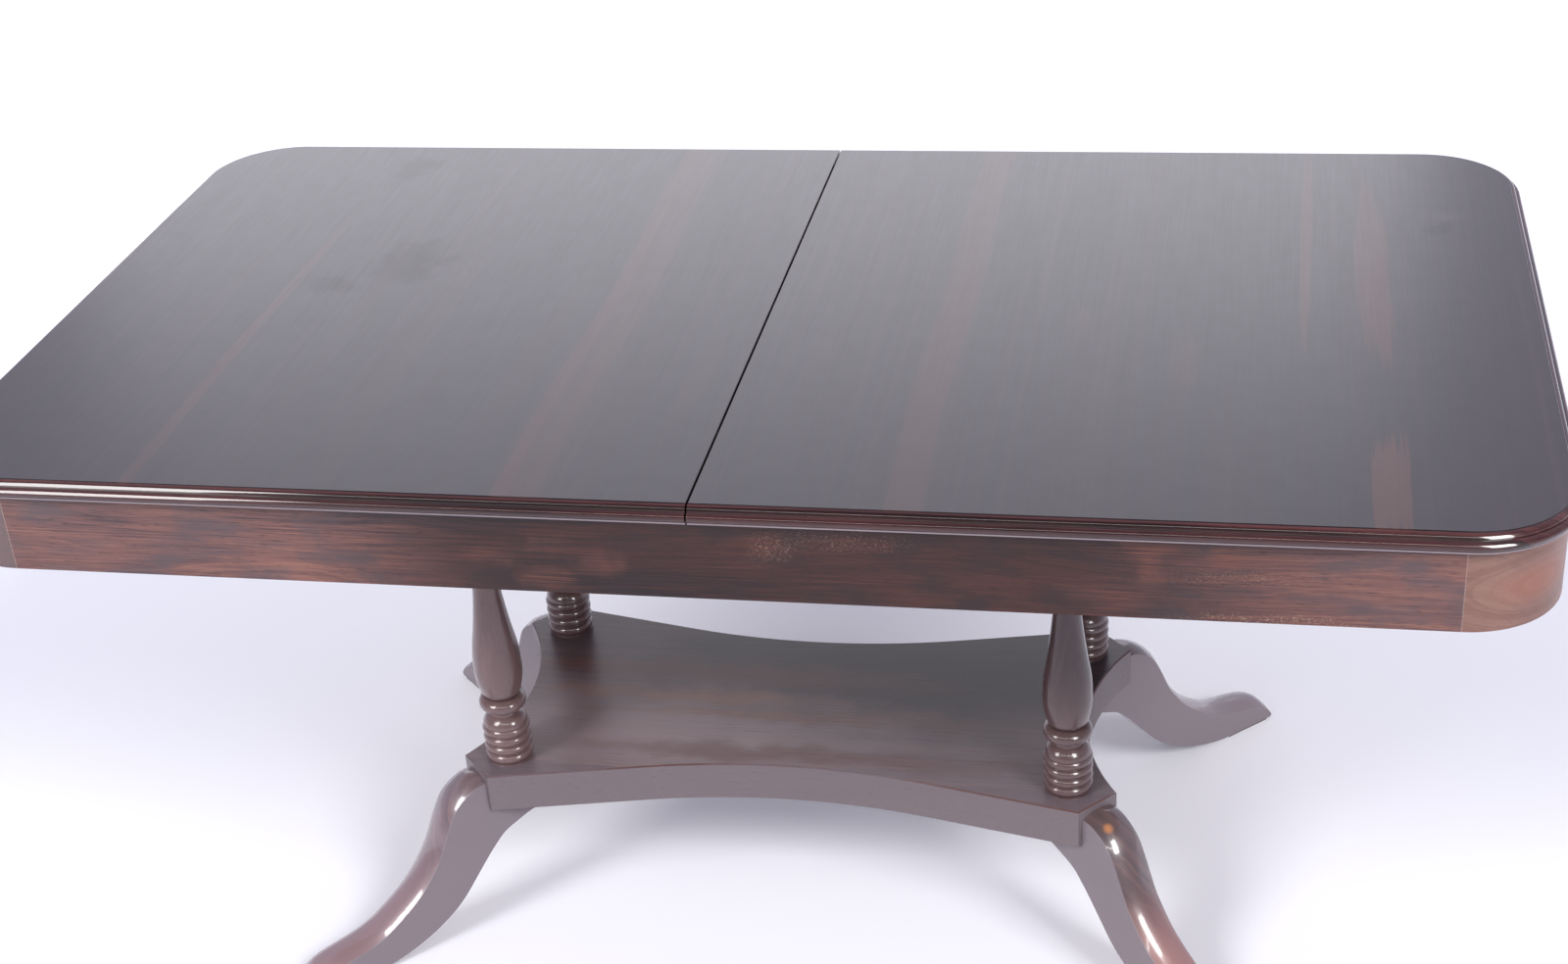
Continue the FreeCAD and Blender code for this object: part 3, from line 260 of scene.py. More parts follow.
def swayed(wood, noise, reach):
    """The wood's place in millimetres, moved about by a noise, so that a patch gets a ragged outline."""
    back = tuple(-share / 2 for share in reach)
    offset = add(wood["tree"], "ShaderNodeVectorMath", {0: noise.outputs["Color"], 1: reach, 2: back},
                 operation="MULTIPLY_ADD")
    return add(wood["tree"], "ShaderNodeVectorMath", {0: wood["place"], 1: offset.outputs[0]}).outputs[0]


def polish(wood, roughness, coat=0.0, coat_roughness=0.2, relief=0.10, specular=0.5):
    """Link a wood's colour, and give it a finish whose gloss follows the fibres."""
    tree = wood["tree"]
    shader = tree.nodes["Principled BSDF"]
    tree.links.new(wood["colour"], shader.inputs["Base Color"])
    gloss = add(tree, "ShaderNodeMapRange", {"Value": wood["fibre"], "From Min": 0.3, "From Max": 0.7,
                                             "To Min": roughness - 0.04, "To Max": roughness + 0.05})
    tree.links.new(gloss.outputs[0], shader.inputs["Roughness"])
    bump = add(tree, "ShaderNodeBump", {"Height": wood["fibre"], "Strength": relief,
                                         "Distance": GRAIN_DEPTH})
    tree.links.new(bump.outputs["Normal"], shader.inputs["Normal"])
    shader.inputs["Specular IOR Level"].default_value = specular
    shader.inputs["Coat Weight"].default_value = coat
    shader.inputs["Coat Roughness"].default_value = coat_roughness
    return wood["material"]


def dress(names, material):
    """Give the named nodes that material alone."""
    for name in names:
        nodes[name].data.materials.clear()
        nodes[name].data.materials.append(material)


# waxed and dusty, so the colour is a greyed brown with little contrast and a dull gloss
board = timber("waxed_rosewood_board", ALONG_X, 16, 60, ("#64585c", "#6c6067", "#766566"), stretch=9,
               pores=0.12)
tree = board["tree"]
bend = add(tree, "ShaderNodeTexNoise", {"Vector": board["laid"], "Scale": 1 / 60, "Detail": 4.0})
bent = swayed(board, bend, BOARD_SWAY)
# the first patch is painted shade and the second painted light; the rest are the wood's figure
for centre, reach, amount, hue in BOARD_FIGURE_LIGHT_SHADE:
    figure_light_shade = add(tree, "ShaderNodeMath", {0: patch(tree, bent, centre, reach, 0.8), 1: amount},
                 operation="MULTIPLY")
    board["colour"] = add(tree, "ShaderNodeMix", {0: figure_light_shade.outputs[0], 6: board["colour"],
                                                  7: linear(hue)}, data_type="RGBA").outputs[2]
# the upright edges are painted greyer, a painted sheen of the pale floor, and between them and the top the
# arris is worn to redder wood
facing = add(tree, "ShaderNodeSeparateXYZ",
             {0: add(tree, "ShaderNodeNewGeometry").outputs["True Normal"]}).outputs["Z"]
side = add(tree, "ShaderNodeMapRange", {"Value": facing, "From Min": 0.5, "From Max": 0.1, "To Max": 0.8})
board["colour"] = add(tree, "ShaderNodeMix", {0: side.outputs[0], 6: board["colour"],
                                              7: linear("#7b7073")}, data_type="RGBA").outputs[2]
tilt = add(tree, "ShaderNodeMath", {0: facing, 1: ARRIS_TILT}, operation="SUBTRACT")
arris = add(tree, "ShaderNodeMath", {0: tilt.outputs[0], 1: 0.0, 2: ARRIS_REACH}, operation="COMPARE")
marked = add(tree, "ShaderNodeMapRange", {"Value": board["cloud"], "From Min": 0.42, "From Max": 0.58,
                                        "To Min": 0.1, "To Max": 0.9})
marked = add(tree, "ShaderNodeMath", {0: marked.outputs[0], 1: arris.outputs[0]}, operation="MULTIPLY")
board["colour"] = add(tree, "ShaderNodeMix", {0: marked.outputs[0], 6: board["colour"], 7: linear("#5c3d39")},
                      data_type="RGBA").outputs[2]
dress(["base_platform"], polish(board, 0.30, specular=0.35))


# Legs: sabre legs sawn from thick rosewood, flat and waxed at the sides, crowned and polished on
# top. A dowel and two screws hold each to the platform, and a thin pad is glued under each sole.
LEG_HALF_WIDTH = 23
CANT_MIDDLE = (366.3, 167.1)
# the grey painted sheen on the sides fades out at the arris, and the crown is painted paler from the ankle
# to the foot, a painted light where it turns up to the lamps
SIDE_FADE, LIT_FOOT_FADE = (1.5, 0.2), (150, 60)
KNEE_SPOT, KNEE_SPOT_REACH = (379, -191, 191), (7, 7, 9)
# each leg's corner, heading in degrees, and signs of its place along and across the table
LEGS = (("front_left", 223.5, -1, -1), ("front_right", -43.5, 1, -1),
        ("rear_left", 136.5, -1, 1), ("rear_right", 43.5, 1, 1))
for corner, heading, side_x, side_y in LEGS:
    hues = ("#6a5b60", "#76656a", "#866d6e") if side_x < 0 else ("#504246", "#5b4b4d", "#6b5453")
    lit_foot_hue = "#84767a" if side_y > 0 else "#8b7074" if side_x < 0 else "#9e726c"
    leg = timber(f"waxed_rosewood_leg_{corner}", (0, 0, -math.radians(heading)), 9, 25, hues, pores=0.12)
    tree = leg["tree"]
    # the flat sides are dulled by wax and painted greyer, a painted sheen of the pale floor; the crown
    # between them is kept bright, and it is painted redder and paler towards the foot, a painted light
    # where it turns up to the lamps
    sideways = (-math.sin(math.radians(heading)), math.cos(math.radians(heading)), 0)
    offset = add(tree, "ShaderNodeVectorMath", {0: leg["place"], 1: (side_x * CANT_MIDDLE[0],
                                                                     side_y * CANT_MIDDLE[1], 0)},
                 operation="SUBTRACT")
    aside = add(tree, "ShaderNodeVectorMath", {0: offset.outputs[0], 1: sideways}, operation="DOT_PRODUCT")
    aside = add(tree, "ShaderNodeMath", {0: aside.outputs["Value"]}, operation="ABSOLUTE")
    flat = add(tree, "ShaderNodeMapRange", {"Value": aside.outputs[0],
                                            "From Min": LEG_HALF_WIDTH - SIDE_FADE[0],
                                            "From Max": LEG_HALF_WIDTH - SIDE_FADE[1], "To Max": 0.93})
    height = add(tree, "ShaderNodeSeparateXYZ", {0: leg["place"]}).outputs["Z"]
    low = add(tree, "ShaderNodeMapRange", {"Value": height, "From Min": LIT_FOOT_FADE[0],
                                           "From Max": LIT_FOOT_FADE[1], "To Max": 0.85},
              interpolation_type="SMOOTHSTEP")
    leg["colour"] = add(tree, "ShaderNodeMix", {0: low.outputs[0], 6: leg["colour"], 7: linear(lit_foot_hue)},
                        data_type="RGBA").outputs[2]
    if corner == "front_right":
        # one knee has an orange spot
        marked = patch(tree, leg["place"], KNEE_SPOT, KNEE_SPOT_REACH, 0.3)
        leg["colour"] = add(tree, "ShaderNodeMix", {0: marked, 6: leg["colour"], 7: linear("#b87b52")},
                            data_type="RGBA").outputs[2]
    leg["colour"] = add(tree, "ShaderNodeMix", {0: flat.outputs[0], 6: leg["colour"], 7: linear("#887d82")},
                        data_type="RGBA").outputs[2]
    dress([f"leg_{corner}"], polish(leg, 0.36, 1.0, 0.10, 0.03))
    crown = add(tree, "ShaderNodeMath", {0: 1.0, 1: flat.outputs[0]}, operation="SUBTRACT")
    tree.links.new(crown.outputs[0], tree.nodes["Principled BSDF"].inputs["Coat Weight"])

# beech dowels, pale and matt, and steel screws hold the legs, and thin dark felt is glued under them
DOWEL_BEECH = ("#b8946a", "#c9a679", "#d6b78c")
BRIGHT_STEEL, DULL_STEEL = "#a6a4a1", "#77746f"
MARK_DEPTH, WOOL_DEPTH = 0.0002, 0.0005
dowel = timber("turned_beech_upright", ALONG_Z, 3, 6, DOWEL_BEECH, pores=0.1)
dress(["leg_dowels"], polish(dowel, 0.55))


def metal(name, bright, dull, low, high, grain):
    """Metal that is dulled in soft patches, with fine marks of the given spacing in millimetres."""
    material = bpy.data.materials.new(name)
    material.use_nodes = True
    tree = material.node_tree
    shader = tree.nodes["Principled BSDF"]
    place = in_millimetres(tree)
    dulled = add(tree, "ShaderNodeTexNoise", {"Vector": place, "Scale": 1 / 9, "Detail": 4.0})
    marks = add(tree, "ShaderNodeTexNoise", {"Vector": place, "Scale": 1 / grain, "Detail": 2.0})
    colour = add(tree, "ShaderNodeMix", {0: dulled.outputs["Fac"], 6: linear(bright), 7: linear(dull)},
                 data_type="RGBA")
    gloss = add(tree, "ShaderNodeMapRange", {"Value": dulled.outputs["Fac"], "From Min": 0.35,
                                             "From Max": 0.65, "To Min": low, "To Max": high})
    bump = add(tree, "ShaderNodeBump", {"Height": marks.outputs["Fac"], "Strength": 0.15,
                                        "Distance": MARK_DEPTH})
    tree.links.new(colour.outputs[2], shader.inputs["Base Color"])
    tree.links.new(gloss.outputs[0], shader.inputs["Roughness"])
    tree.links.new(bump.outputs["Normal"], shader.inputs["Normal"])
    shader.inputs["Metallic"].default_value = 1.0
    return material


# drawn steel screws, cut and never plated, so they are grey with a dull gleam
steel = metal("drawn_steel_screw", BRIGHT_STEEL, DULL_STEEL, 0.28, 0.46, 0.8)
dress(["leg_screws"], steel)

# pressed wool felt, dark brown and quite without gloss, its fibres drawn a millimetre wide
felt = bpy.data.materials.new("pressed_wool_felt")
felt.use_nodes = True
tree = felt.node_tree
shader = tree.nodes["Principled BSDF"]
wool = add(tree, "ShaderNodeTexNoise", {"Vector": in_millimetres(tree), "Scale": 1.0, "Detail": 4.0,
                                        "Roughness": 0.7})
colour = add(tree, "ShaderNodeMix", {0: wool.outputs["Fac"], 6: linear("#2a2322"), 7: linear("#544a47")},
             data_type="RGBA")
bump = add(tree, "ShaderNodeBump", {"Height": wool.outputs["Fac"], "Strength": 0.6,
                                    "Distance": WOOL_DEPTH})
tree.links.new(colour.outputs[2], shader.inputs["Base Color"])
tree.links.new(bump.outputs["Normal"], shader.inputs["Normal"])
shader.inputs["Roughness"].default_value = 0.95
shader.inputs["Sheen Weight"].default_value = 0.3
dress(["foot_pads"], felt)


# Columns: four turned rosewood columns, French polished on the lathe, so their rings shine.
# The left pair is coloured paler than the right.
SHEEN_RISE = (400, 285)
for side, hues in (("left", ("#6c5352", "#7c6362", "#8e706d")),
                   ("right", ("#3a2a2b", "#432f31", "#4f393a"))):
    turned = timber(f"polished_rosewood_turning_{side}", ALONG_Z, 9, 14, hues, pores=0.08, lines=0.5)
    # the bulbs' lower part and the lowest rings are painted paler, a painted reflection of the pale floor
    tree = turned["tree"]
    upright = add(tree, "ShaderNodeSeparateXYZ", {0: turned["place"]}).outputs["Z"]
    lower_sheen = add(tree, "ShaderNodeMapRange", {"Value": upright, "From Min": SHEEN_RISE[0],
                                              "From Max": SHEEN_RISE[1], "To Max": 0.6},
                 interpolation_type="SMOOTHSTEP")
    turned["colour"] = add(tree, "ShaderNodeMix", {0: lower_sheen.outputs[0], 6: turned["colour"],
                                                   7: linear("#705a59")}, data_type="RGBA").outputs[2]
    dress([f"column_front_{side}", f"column_rear_{side}"], polish(turned, 0.32, 1.0, 0.15, 0.01, 0.15))


# Bearers: a beech bearer lies across each pair of columns, its ends housed in the frieze rails, and
# a stop rail joins the two. They are planed and left bare, for nobody sees them.
BARE_BEECH = ("#94795a", "#ab9072", "#bda484")
PLANED_GLOSS = 0.62
crosswise = timber("planed_beech_across", ALONG_Y, 6, 16, BARE_BEECH, pores=0.15)
dress(["cross_bearer_left", "cross_bearer_right"], polish(crosswise, PLANED_GLOSS, specular=0.3))
lengthwise = timber("planed_beech_along", ALONG_X, 6, 16, BARE_BEECH, pores=0.15)
dress(["stop_rail"], polish(lengthwise, PLANED_GLOSS, specular=0.3))


# Frieze: pine rails faced with figured rosewood veneer, and curved corner blocks, dowelled together.
# The veneer is dark in the middle of the front and redder and paler at its ends, partly its own figure and
# partly painted lamp light, with small knots.
FRIEZE_FRONT, FRIEZE_END, FRIEZE_BOTTOM = 449, 809, 643
FRIEZE_JOINT, WAX_LINE, VENEER_LIMIT = 713, (1.4, 0.6), 3
PINE = ("#93724c", "#c3a67b")
# where the dark middle fades into the red ends, which are partly painted lamp light, from the left and from
# the right
LEFT_LIGHT_FADE, RIGHT_LIGHT_FADE = (-190, -430), (330, 700)
FRIEZE_SWAY = (50, 0, 16)
# knots, which lift the rings: middle, reach and lift in millimetres
KNOTS = (((-150, 0, 672), (80, 60, 34), 9.0), ((76, 0, 702), (30, 60, 18), 4.0),
         ((430, 0, 716), (40, 60, 20), 5.0), ((508, 0, 712), (36, 60, 18), -5.0))
# redder hearts of the figure, and patches of waxed pores: middle and reach in millimetres, and strength
HEARTS = (((-205, -449, 683), (24, 20, 10), 0.4), ((-140, -449, 694), (24, 20, 9), 0.4),
          ((-150, -449, 660), (26, 20, 10), 0.5), ((-96, -449, 680), (20, 20, 12), 0.45),
          ((76, -449, 702), (20, 20, 13), 0.15), ((430, -449, 716), (20, 20, 9), 0.6),
          ((434, -449, 696), (11, 20, 16), 0.5), ((400, -449, 668), (34, 20, 12), 0.35),
          ((505, -449, 712), (14, 20, 9), 0.6))
FLECKED = (((76, -449, 702), (18, 20, 11), 0.6), ((545, -449, 646), (70, 20, 5), 0.8),
           ((520, -449, 690), (60, 20, 8), 0.3), ((140, -449, 712), (60, 20, 10), 0.3))


def veneer(name, turn, knots):
    """Figured veneer, mottled with greyer patches, red at the table's ends and dark in its middle; the
    paler ends are partly painted lamp light.
    """
    wood = timber(name, turn, 3.2, 60, ("#403438", "#724f4a", "#8d6256"), stretch=5, pores=0.45, fine=0.85,
                  lines=0.6, knots=knots)
    tree = wood["tree"]
    loose = add(tree, "ShaderNodeVectorMath", {0: wood["laid"], 1: (0.4, 1, 1)}, operation="MULTIPLY")
    mottle = add(tree, "ShaderNodeTexNoise", {"Vector": loose.outputs[0], "Scale": 1 / 24, "Detail": 4.0})
    mottle = add(tree, "ShaderNodeMapRange", {"Value": mottle.outputs["Fac"], "From Min": 0.48,
                                              "From Max": 0.66, "To Max": 0.75})
    mottled = add(tree, "ShaderNodeMix", {0: mottle.outputs[0], 6: wood["colour"], 7: linear("#54494d")},
                  data_type="RGBA")
    # the ends are painted paler, partly the wood's figure and partly painted light of the lamps
    x = add(tree, "ShaderNodeSeparateXYZ", {0: wood["place"]}).outputs["X"]
    left = add(tree, "ShaderNodeMapRange", {"Value": x, "From Min": LEFT_LIGHT_FADE[0],
                                            "From Max": LEFT_LIGHT_FADE[1]}, interpolation_type="SMOOTHSTEP")
    right = add(tree, "ShaderNodeMapRange", {"Value": x, "From Min": RIGHT_LIGHT_FADE[0],
                                             "From Max": RIGHT_LIGHT_FADE[1]}, interpolation_type="SMOOTHSTEP")
    lit_ends = add(tree, "ShaderNodeMath", {0: left.outputs[0], 1: right.outputs[0]}, operation="MAXIMUM")
    ends_light_tint = add(tree, "ShaderNodeMix", {0: lit_ends.outputs[0], 6: linear("#867270"), 7: linear("#ffffff")},
               data_type="RGBA")
    wood["colour"] = add(tree, "ShaderNodeMix", {0: 1.0, 6: mottled.outputs[2], 7: ends_light_tint.outputs[2]},
                         data_type="RGBA", blend_type="MULTIPLY").outputs[2]
    return wood


def fleck(wood, bent, patches):
    """Pores that have caught pale wax in some places, drawn wider than they are so that they show."""
    tree = wood["tree"]
    speck_place = add(tree, "ShaderNodeVectorMath", {0: wood["laid"], 1: (0.3, 1, 1)}, operation="MULTIPLY")
    speck = add(tree, "ShaderNodeTexNoise", {"Vector": speck_place.outputs[0], "Scale": 1.3, "Detail": 1.0})
    speck = add(tree, "ShaderNodeMapRange", {"Value": speck.outputs["Fac"], "From Min": 0.60,
                                             "From Max": 0.70}).outputs[0]
    for centre, reach, amount in patches:
        loose = add(tree, "ShaderNodeMath", {0: patch(tree, bent, centre, reach, 0.8), 1: amount},
                    operation="MULTIPLY")
        shown = add(tree, "ShaderNodeMath", {0: loose.outputs[0], 1: speck}, operation="MULTIPLY")
        wood["colour"] = add(tree, "ShaderNodeMix", {0: shown.outputs[0], 6: wood["colour"],
                                                     7: linear("#b59a80")}, data_type="RGBA").outputs[2]


def show_pine(wood, covered):
    """Show the bare pine core wherever the wood is not covered by its veneer or by stain."""
    pine = add(wood["tree"], "ShaderNodeMix", {0: wood["fibre"], 6: linear(PINE[0]), 7: linear(PINE[1])},
               data_type="RGBA")
    wood["colour"] = add(wood["tree"], "ShaderNodeMix", {0: covered, 6: pine.outputs[2], 7: wood["colour"]},
                         data_type="RGBA").outputs[2]


def bare_inside(wood, depth, least):
    """Show the pine core where the depth is less than that, except on the stained lower edge."""
    tree = wood["tree"]
    outer = add(tree, "ShaderNodeMath", {0: depth, 1: least}, operation="GREATER_THAN")
    upright = add(tree, "ShaderNodeSeparateXYZ", {0: wood["place"]}).outputs["Z"]
    lower = add(tree, "ShaderNodeMath", {0: upright, 1: FRIEZE_BOTTOM + 1}, operation="LESS_THAN")
    stained = add(tree, "ShaderNodeMath", {0: outer.outputs[0], 1: lower.outputs[0]}, operation="MAXIMUM")
    show_pine(wood, stained.outputs[0])


front = veneer("figured_rosewood_veneer", ALONG_X, KNOTS)
tree = front["tree"]
bend = add(tree, "ShaderNodeTexNoise", {"Vector": front["laid"], "Scale": 1 / 22, "Detail": 2.0})
bent = swayed(front, bend, FRIEZE_SWAY)
streaky = add(tree, "ShaderNodeMapRange", {"Value": front["fibre"], "From Min": 0.36, "From Max": 0.60,
                                           "To Min": 0.2, "To Max": 1.25})
for centre, reach, amount in HEARTS:
    heart = add(tree, "ShaderNodeMath", {0: patch(tree, bent, centre, reach, 0.9), 1: amount},
                operation="MULTIPLY")
    heart = add(tree, "ShaderNodeMath", {0: heart.outputs[0], 1: streaky.outputs[0]},
                operation="MULTIPLY", use_clamp=True)
    front["colour"] = add(tree, "ShaderNodeMix", {0: heart.outputs[0], 6: front["colour"],
                                                  7: linear("#74463a")}, data_type="RGBA").outputs[2]
fleck(front, bent, FLECKED)

# the joints with the corner blocks are filled with pale wax
across = add(tree, "ShaderNodeSeparateXYZ", {0: front["place"]}).outputs["X"]
across = add(tree, "ShaderNodeMath", {0: across}, operation="ABSOLUTE")
joint = add(tree, "ShaderNodeMapRange", {"Value": across.outputs[0], "From Min": FRIEZE_JOINT - WAX_LINE[0],
                                         "From Max": FRIEZE_JOINT - WAX_LINE[1]})
joint = add(tree, "ShaderNodeMath", {0: joint.outputs[0], 1: front["fibre"]}, operation="MULTIPLY")
front["colour"] = add(tree, "ShaderNodeMix", {0: joint.outputs[0], 6: front["colour"],
                                              7: linear("#ab968c")}, data_type="RGBA").outputs[2]
face = add(tree, "ShaderNodeVectorMath", {0: front["place"]}, operation="ABSOLUTE").outputs[0]
depth = add(tree, "ShaderNodeSeparateXYZ", {0: face}).outputs["Y"]
bare_inside(front, depth, FRIEZE_FRONT - VENEER_LIMIT)
dress(["frieze_front_rail", "frieze_rear_rail"], polish(front, 0.38, specular=0.4))

# the end rails' veneer is plainer
end = veneer("rosewood_veneer_across", ALONG_Y, ())
tree = end["tree"]
face = add(tree, "ShaderNodeVectorMath", {0: end["place"]}, operation="ABSOLUTE").outputs[0]
depth = add(tree, "ShaderNodeSeparateXYZ", {0: face}).outputs["X"]
bare_inside(end, depth, FRIEZE_END - VENEER_LIMIT)
dress(["frieze_left_rail", "frieze_right_rail"], polish(end, 0.38, specular=0.4))

# corner blocks cut from the solid, so their rings show as ovals round the middle of the curve, whose
# place is measured across the block's diagonal and upwards
DIAGONAL, OVAL_PLACE, OVAL_SHARES = (0.707, -0.707, 0), (255, 685), (0.045, 0.11, 0)
block = timber("rosewood_corner_block", ALONG_X, 7, 20, ("#7a594e", "#876357", "#946e61"), pores=0.15,
               lines=0.4)
tree = block["tree"]
mirrored = add(tree, "ShaderNodeVectorMath", {0: block["place"]}, operation="ABSOLUTE")
lateral = add(tree, "ShaderNodeVectorMath", {0: mirrored.outputs[0], 1: DIAGONAL},
              operation="DOT_PRODUCT")
lateral = add(tree, "ShaderNodeMath", {0: lateral.outputs["Value"], 1: OVAL_PLACE[0]},
              operation="SUBTRACT")
upright = add(tree, "ShaderNodeSeparateXYZ", {0: mirrored.outputs[0]}).outputs["Z"]
upright = add(tree, "ShaderNodeMath", {0: upright, 1: OVAL_PLACE[1]}, operation="SUBTRACT")
oval = add(tree, "ShaderNodeCombineXYZ", {0: lateral.outputs[0], 1: upright.outputs[0]})
oval = add(tree, "ShaderNodeVectorMath", {0: oval.outputs[0], 1: OVAL_SHARES}, operation="MULTIPLY")
distance = add(tree, "ShaderNodeVectorMath", {0: oval.outputs[0]}, operation="LENGTH")
rings = add(tree, "ShaderNodeTexNoise", {"W": distance.outputs["Value"], "Scale": 1.3, "Detail": 2.0},
            noise_dimensions="1D")
line = add(tree, "ShaderNodeMapRange", {"Value": rings.outputs["Fac"], "From Min": 0.42, "From Max": 0.62,
                                        "To Max": 0.5})
block["colour"] = add(tree, "ShaderNodeMix", {0: line.outputs[0], 6: block["colour"],
                                              7: linear("#6c4639")}, data_type="RGBA").outputs[2]
glow = add(tree, "ShaderNodeMapRange", {"Value": distance.outputs["Value"], "From Min": 3.0,
                                        "From Max": 0.5, "To Max": 0.7}, interpolation_type="SMOOTHSTEP")
block["colour"] = add(tree, "ShaderNodeMix", {0: glow.outputs[0], 6: block["colour"],
                                              7: linear("#9c6450")}, data_type="RGBA").outputs[2]
# the left pair is greyer
across = add(tree, "ShaderNodeSeparateXYZ", {0: block["place"]}).outputs["X"]
left = add(tree, "ShaderNodeMapRange", {"Value": across, "From Min": 1.0, "From Max": -1.0,
                                        "To Max": 0.75})
block["colour"] = add(tree, "ShaderNodeMix", {0: left.outputs[0], 6: block["colour"],
                                              7: linear("#5d5154")}, data_type="RGBA").outputs[2]
dress([name for name in nodes if name.startswith("frieze_corner_")], polish(block, 0.38))

# inside, pale beech dowels cross the joints, and a rough beech brace without gloss is let into each corner
pegs = timber("turned_beech_dowel", ALONG_X, 3, 6, DOWEL_BEECH, pores=0.1)
dress(["frieze_dowels"], polish(pegs, 0.55))
braces = timber("sawn_beech_brace", (0, 0, math.pi / 4), 5, 12, BARE_BEECH, pores=0.2)
dress(["corner_braces"], polish(braces, 0.7, specular=0.3))


# Guides: two grooved beech beams between the frieze's ends, on blocks held by steel screws. Cleats
# on the stop rail end the runners' travel, and two rests on the bearers carry the spare leaf.
dress(["guide_beam_front", "guide_beam_rear", "stop_cleats"], lengthwise["material"])
dress(["guide_end_blocks", "leaf_rests"], crosswise["material"])
dress(["guide_screws"], steel)


# Runners: two beech runners under each half of the top, their tongues in the beams' grooves, rubbed
# with wax until they shine a little. A block glued under each one's inner end meets the cleat.
waxed = timber("waxed_beech_runner", ALONG_X, 6, 16, ("#8b6d4c", "#a38461", "#b59873"), pores=0.15)
dress([name for name in nodes if name.startswith("runner_")], polish(waxed, 0.42))
dress(["left_stop_blocks", "right_stop_blocks"], lengthwise["material"])
dress(["left_runner_screws", "right_runner_screws"], steel)


# Top: two pine panels veneered with dark rosewood, French polished and dulled by use. The grain runs
# across the table. Reddish streaks run through the veneer, and bare pine shows underneath.
TOP_FACE, UNDER_VENEER = 749, 748
HAZE, HAZE_SPREAD = 1.0, 0.32
SEAM_STAIN = 1.5
# reddish streaks: middle and reach in millimetres, and strength
STREAKS = (((-572, -230, TOP_FACE), (8, 420, 20), 0.7), ((-172, 0, TOP_FACE), (25, 3000, 20), 0.45),
           ((-188, 0, TOP_FACE), (8, 3000, 20), 0.7), ((203, 0, TOP_FACE), (19, 3000, 20), 0.55),
           ((576, 190, TOP_FACE), (6, 270, 20), 0.9), ((642, 130, TOP_FACE), (13, 220, 20), 0.8),
           ((652, 80, TOP_FACE), (14, 200, 20), 0.9), ((638, -380, TOP_FACE), (8, 95, 20), 1.2),
           ((649, -380, TOP_FACE), (8, 100, 20), 1.3), ((659, -372, TOP_FACE), (8, 92, 20), 1.2),
           ((456, -130, TOP_FACE), (16, 70, 20), 0.3), ((337, -43, TOP_FACE), (14, 40, 20), 0.3),
           ((-42, -187, TOP_FACE), (14, 100, 20), 0.25), ((76, -127, TOP_FACE), (12, 50, 20), 0.25))
STREAK_SHARE, STREAK_SWAY, STREAK_FRAYING, STREAK_TEAR = 0.6, 20, 0.35, 130
DENT_LIT_WALL, DENT_LIT_REACH = (730, 258, TOP_FACE), (17, 10, 20)
# duller polish, three scuffs on the left, and the dent's near wall, whose lost haze stands in for its
# shade: middle and reach, and loss of haze
RUBS = (((-452, 88, TOP_FACE), (38, 52, 20), 0.2), ((-530, 21, TOP_FACE), (38, 18, 20), 0.1),
        ((-535, 377, TOP_FACE), (30, 34, 20), 0.12), ((731, 230, TOP_FACE), (16, 12, 20), 0.14))
RUB_SWAY = (80, 80, 0)
TOP_HUES = ("#180f0f", "#201313", "#2a1a19")
top = timber("rosewood_top_veneer", ALONG_Y, 12, 14, TOP_HUES, stretch=14, fine=0.6)
tree = top["tree"]
# the streaks' sides sway slowly and are frayed by a few millimetres, and their ends are torn
ragged_place = add(tree, "ShaderNodeVectorMath", {0: top["laid"], 1: (0.05, 1, 1)}, operation="MULTIPLY")
ragged = add(tree, "ShaderNodeTexNoise", {"Vector": ragged_place.outputs[0], "Scale": 0.2, "Detail": 4.0})
drift = add(tree, "ShaderNodeTexNoise", {"Vector": top["laid"], "Scale": 1 / 400, "Detail": 0.0})
shift = add(tree, "ShaderNodeMath", {0: ragged.outputs["Fac"], 1: STREAK_FRAYING, 2: drift.outputs["Fac"]},
            operation="MULTIPLY_ADD")
shift = add(tree, "ShaderNodeMath", {0: shift.outputs[0], 1: STREAK_SWAY,
                                     2: -STREAK_SWAY * (1 + STREAK_FRAYING) / 2}, operation="MULTIPLY_ADD")
across = add(tree, "ShaderNodeSeparateXYZ", {0: top["place"]}).outputs["X"]
torn = add(tree, "ShaderNodeTexNoise", {"W": across, "Scale": 0.22, "Detail": 3.0}, noise_dimensions="1D")
torn = add(tree, "ShaderNodeMath", {0: torn.outputs["Fac"], 1: STREAK_TEAR, 2: -STREAK_TEAR / 2},
           operation="MULTIPLY_ADD")
offset = add(tree, "ShaderNodeCombineXYZ", {0: shift.outputs[0], 1: torn.outputs[0]})
moved = add(tree, "ShaderNodeVectorMath", {0: top["place"], 1: offset.outputs[0]})
streak = None
for centre, reach, amount in STREAKS:
    band = patch(tree, moved.outputs[0], centre, reach, 0.2)
    band = add(tree, "ShaderNodeMath", {0: band, 1: amount}, operation="MULTIPLY").outputs[0]
    streak = band if streak is None else add(tree, "ShaderNodeMath", {0: streak, 1: band},
                                             operation="MAXIMUM").outputs[0]
streak = add(tree, "ShaderNodeMath", {0: streak, 1: STREAK_SHARE}, operation="MULTIPLY")
top["colour"] = add(tree, "ShaderNodeMix", {0: streak.outputs[0], 6: top["colour"], 7: linear("#4e2e20")},
                    data_type="RGBA").outputs[2]


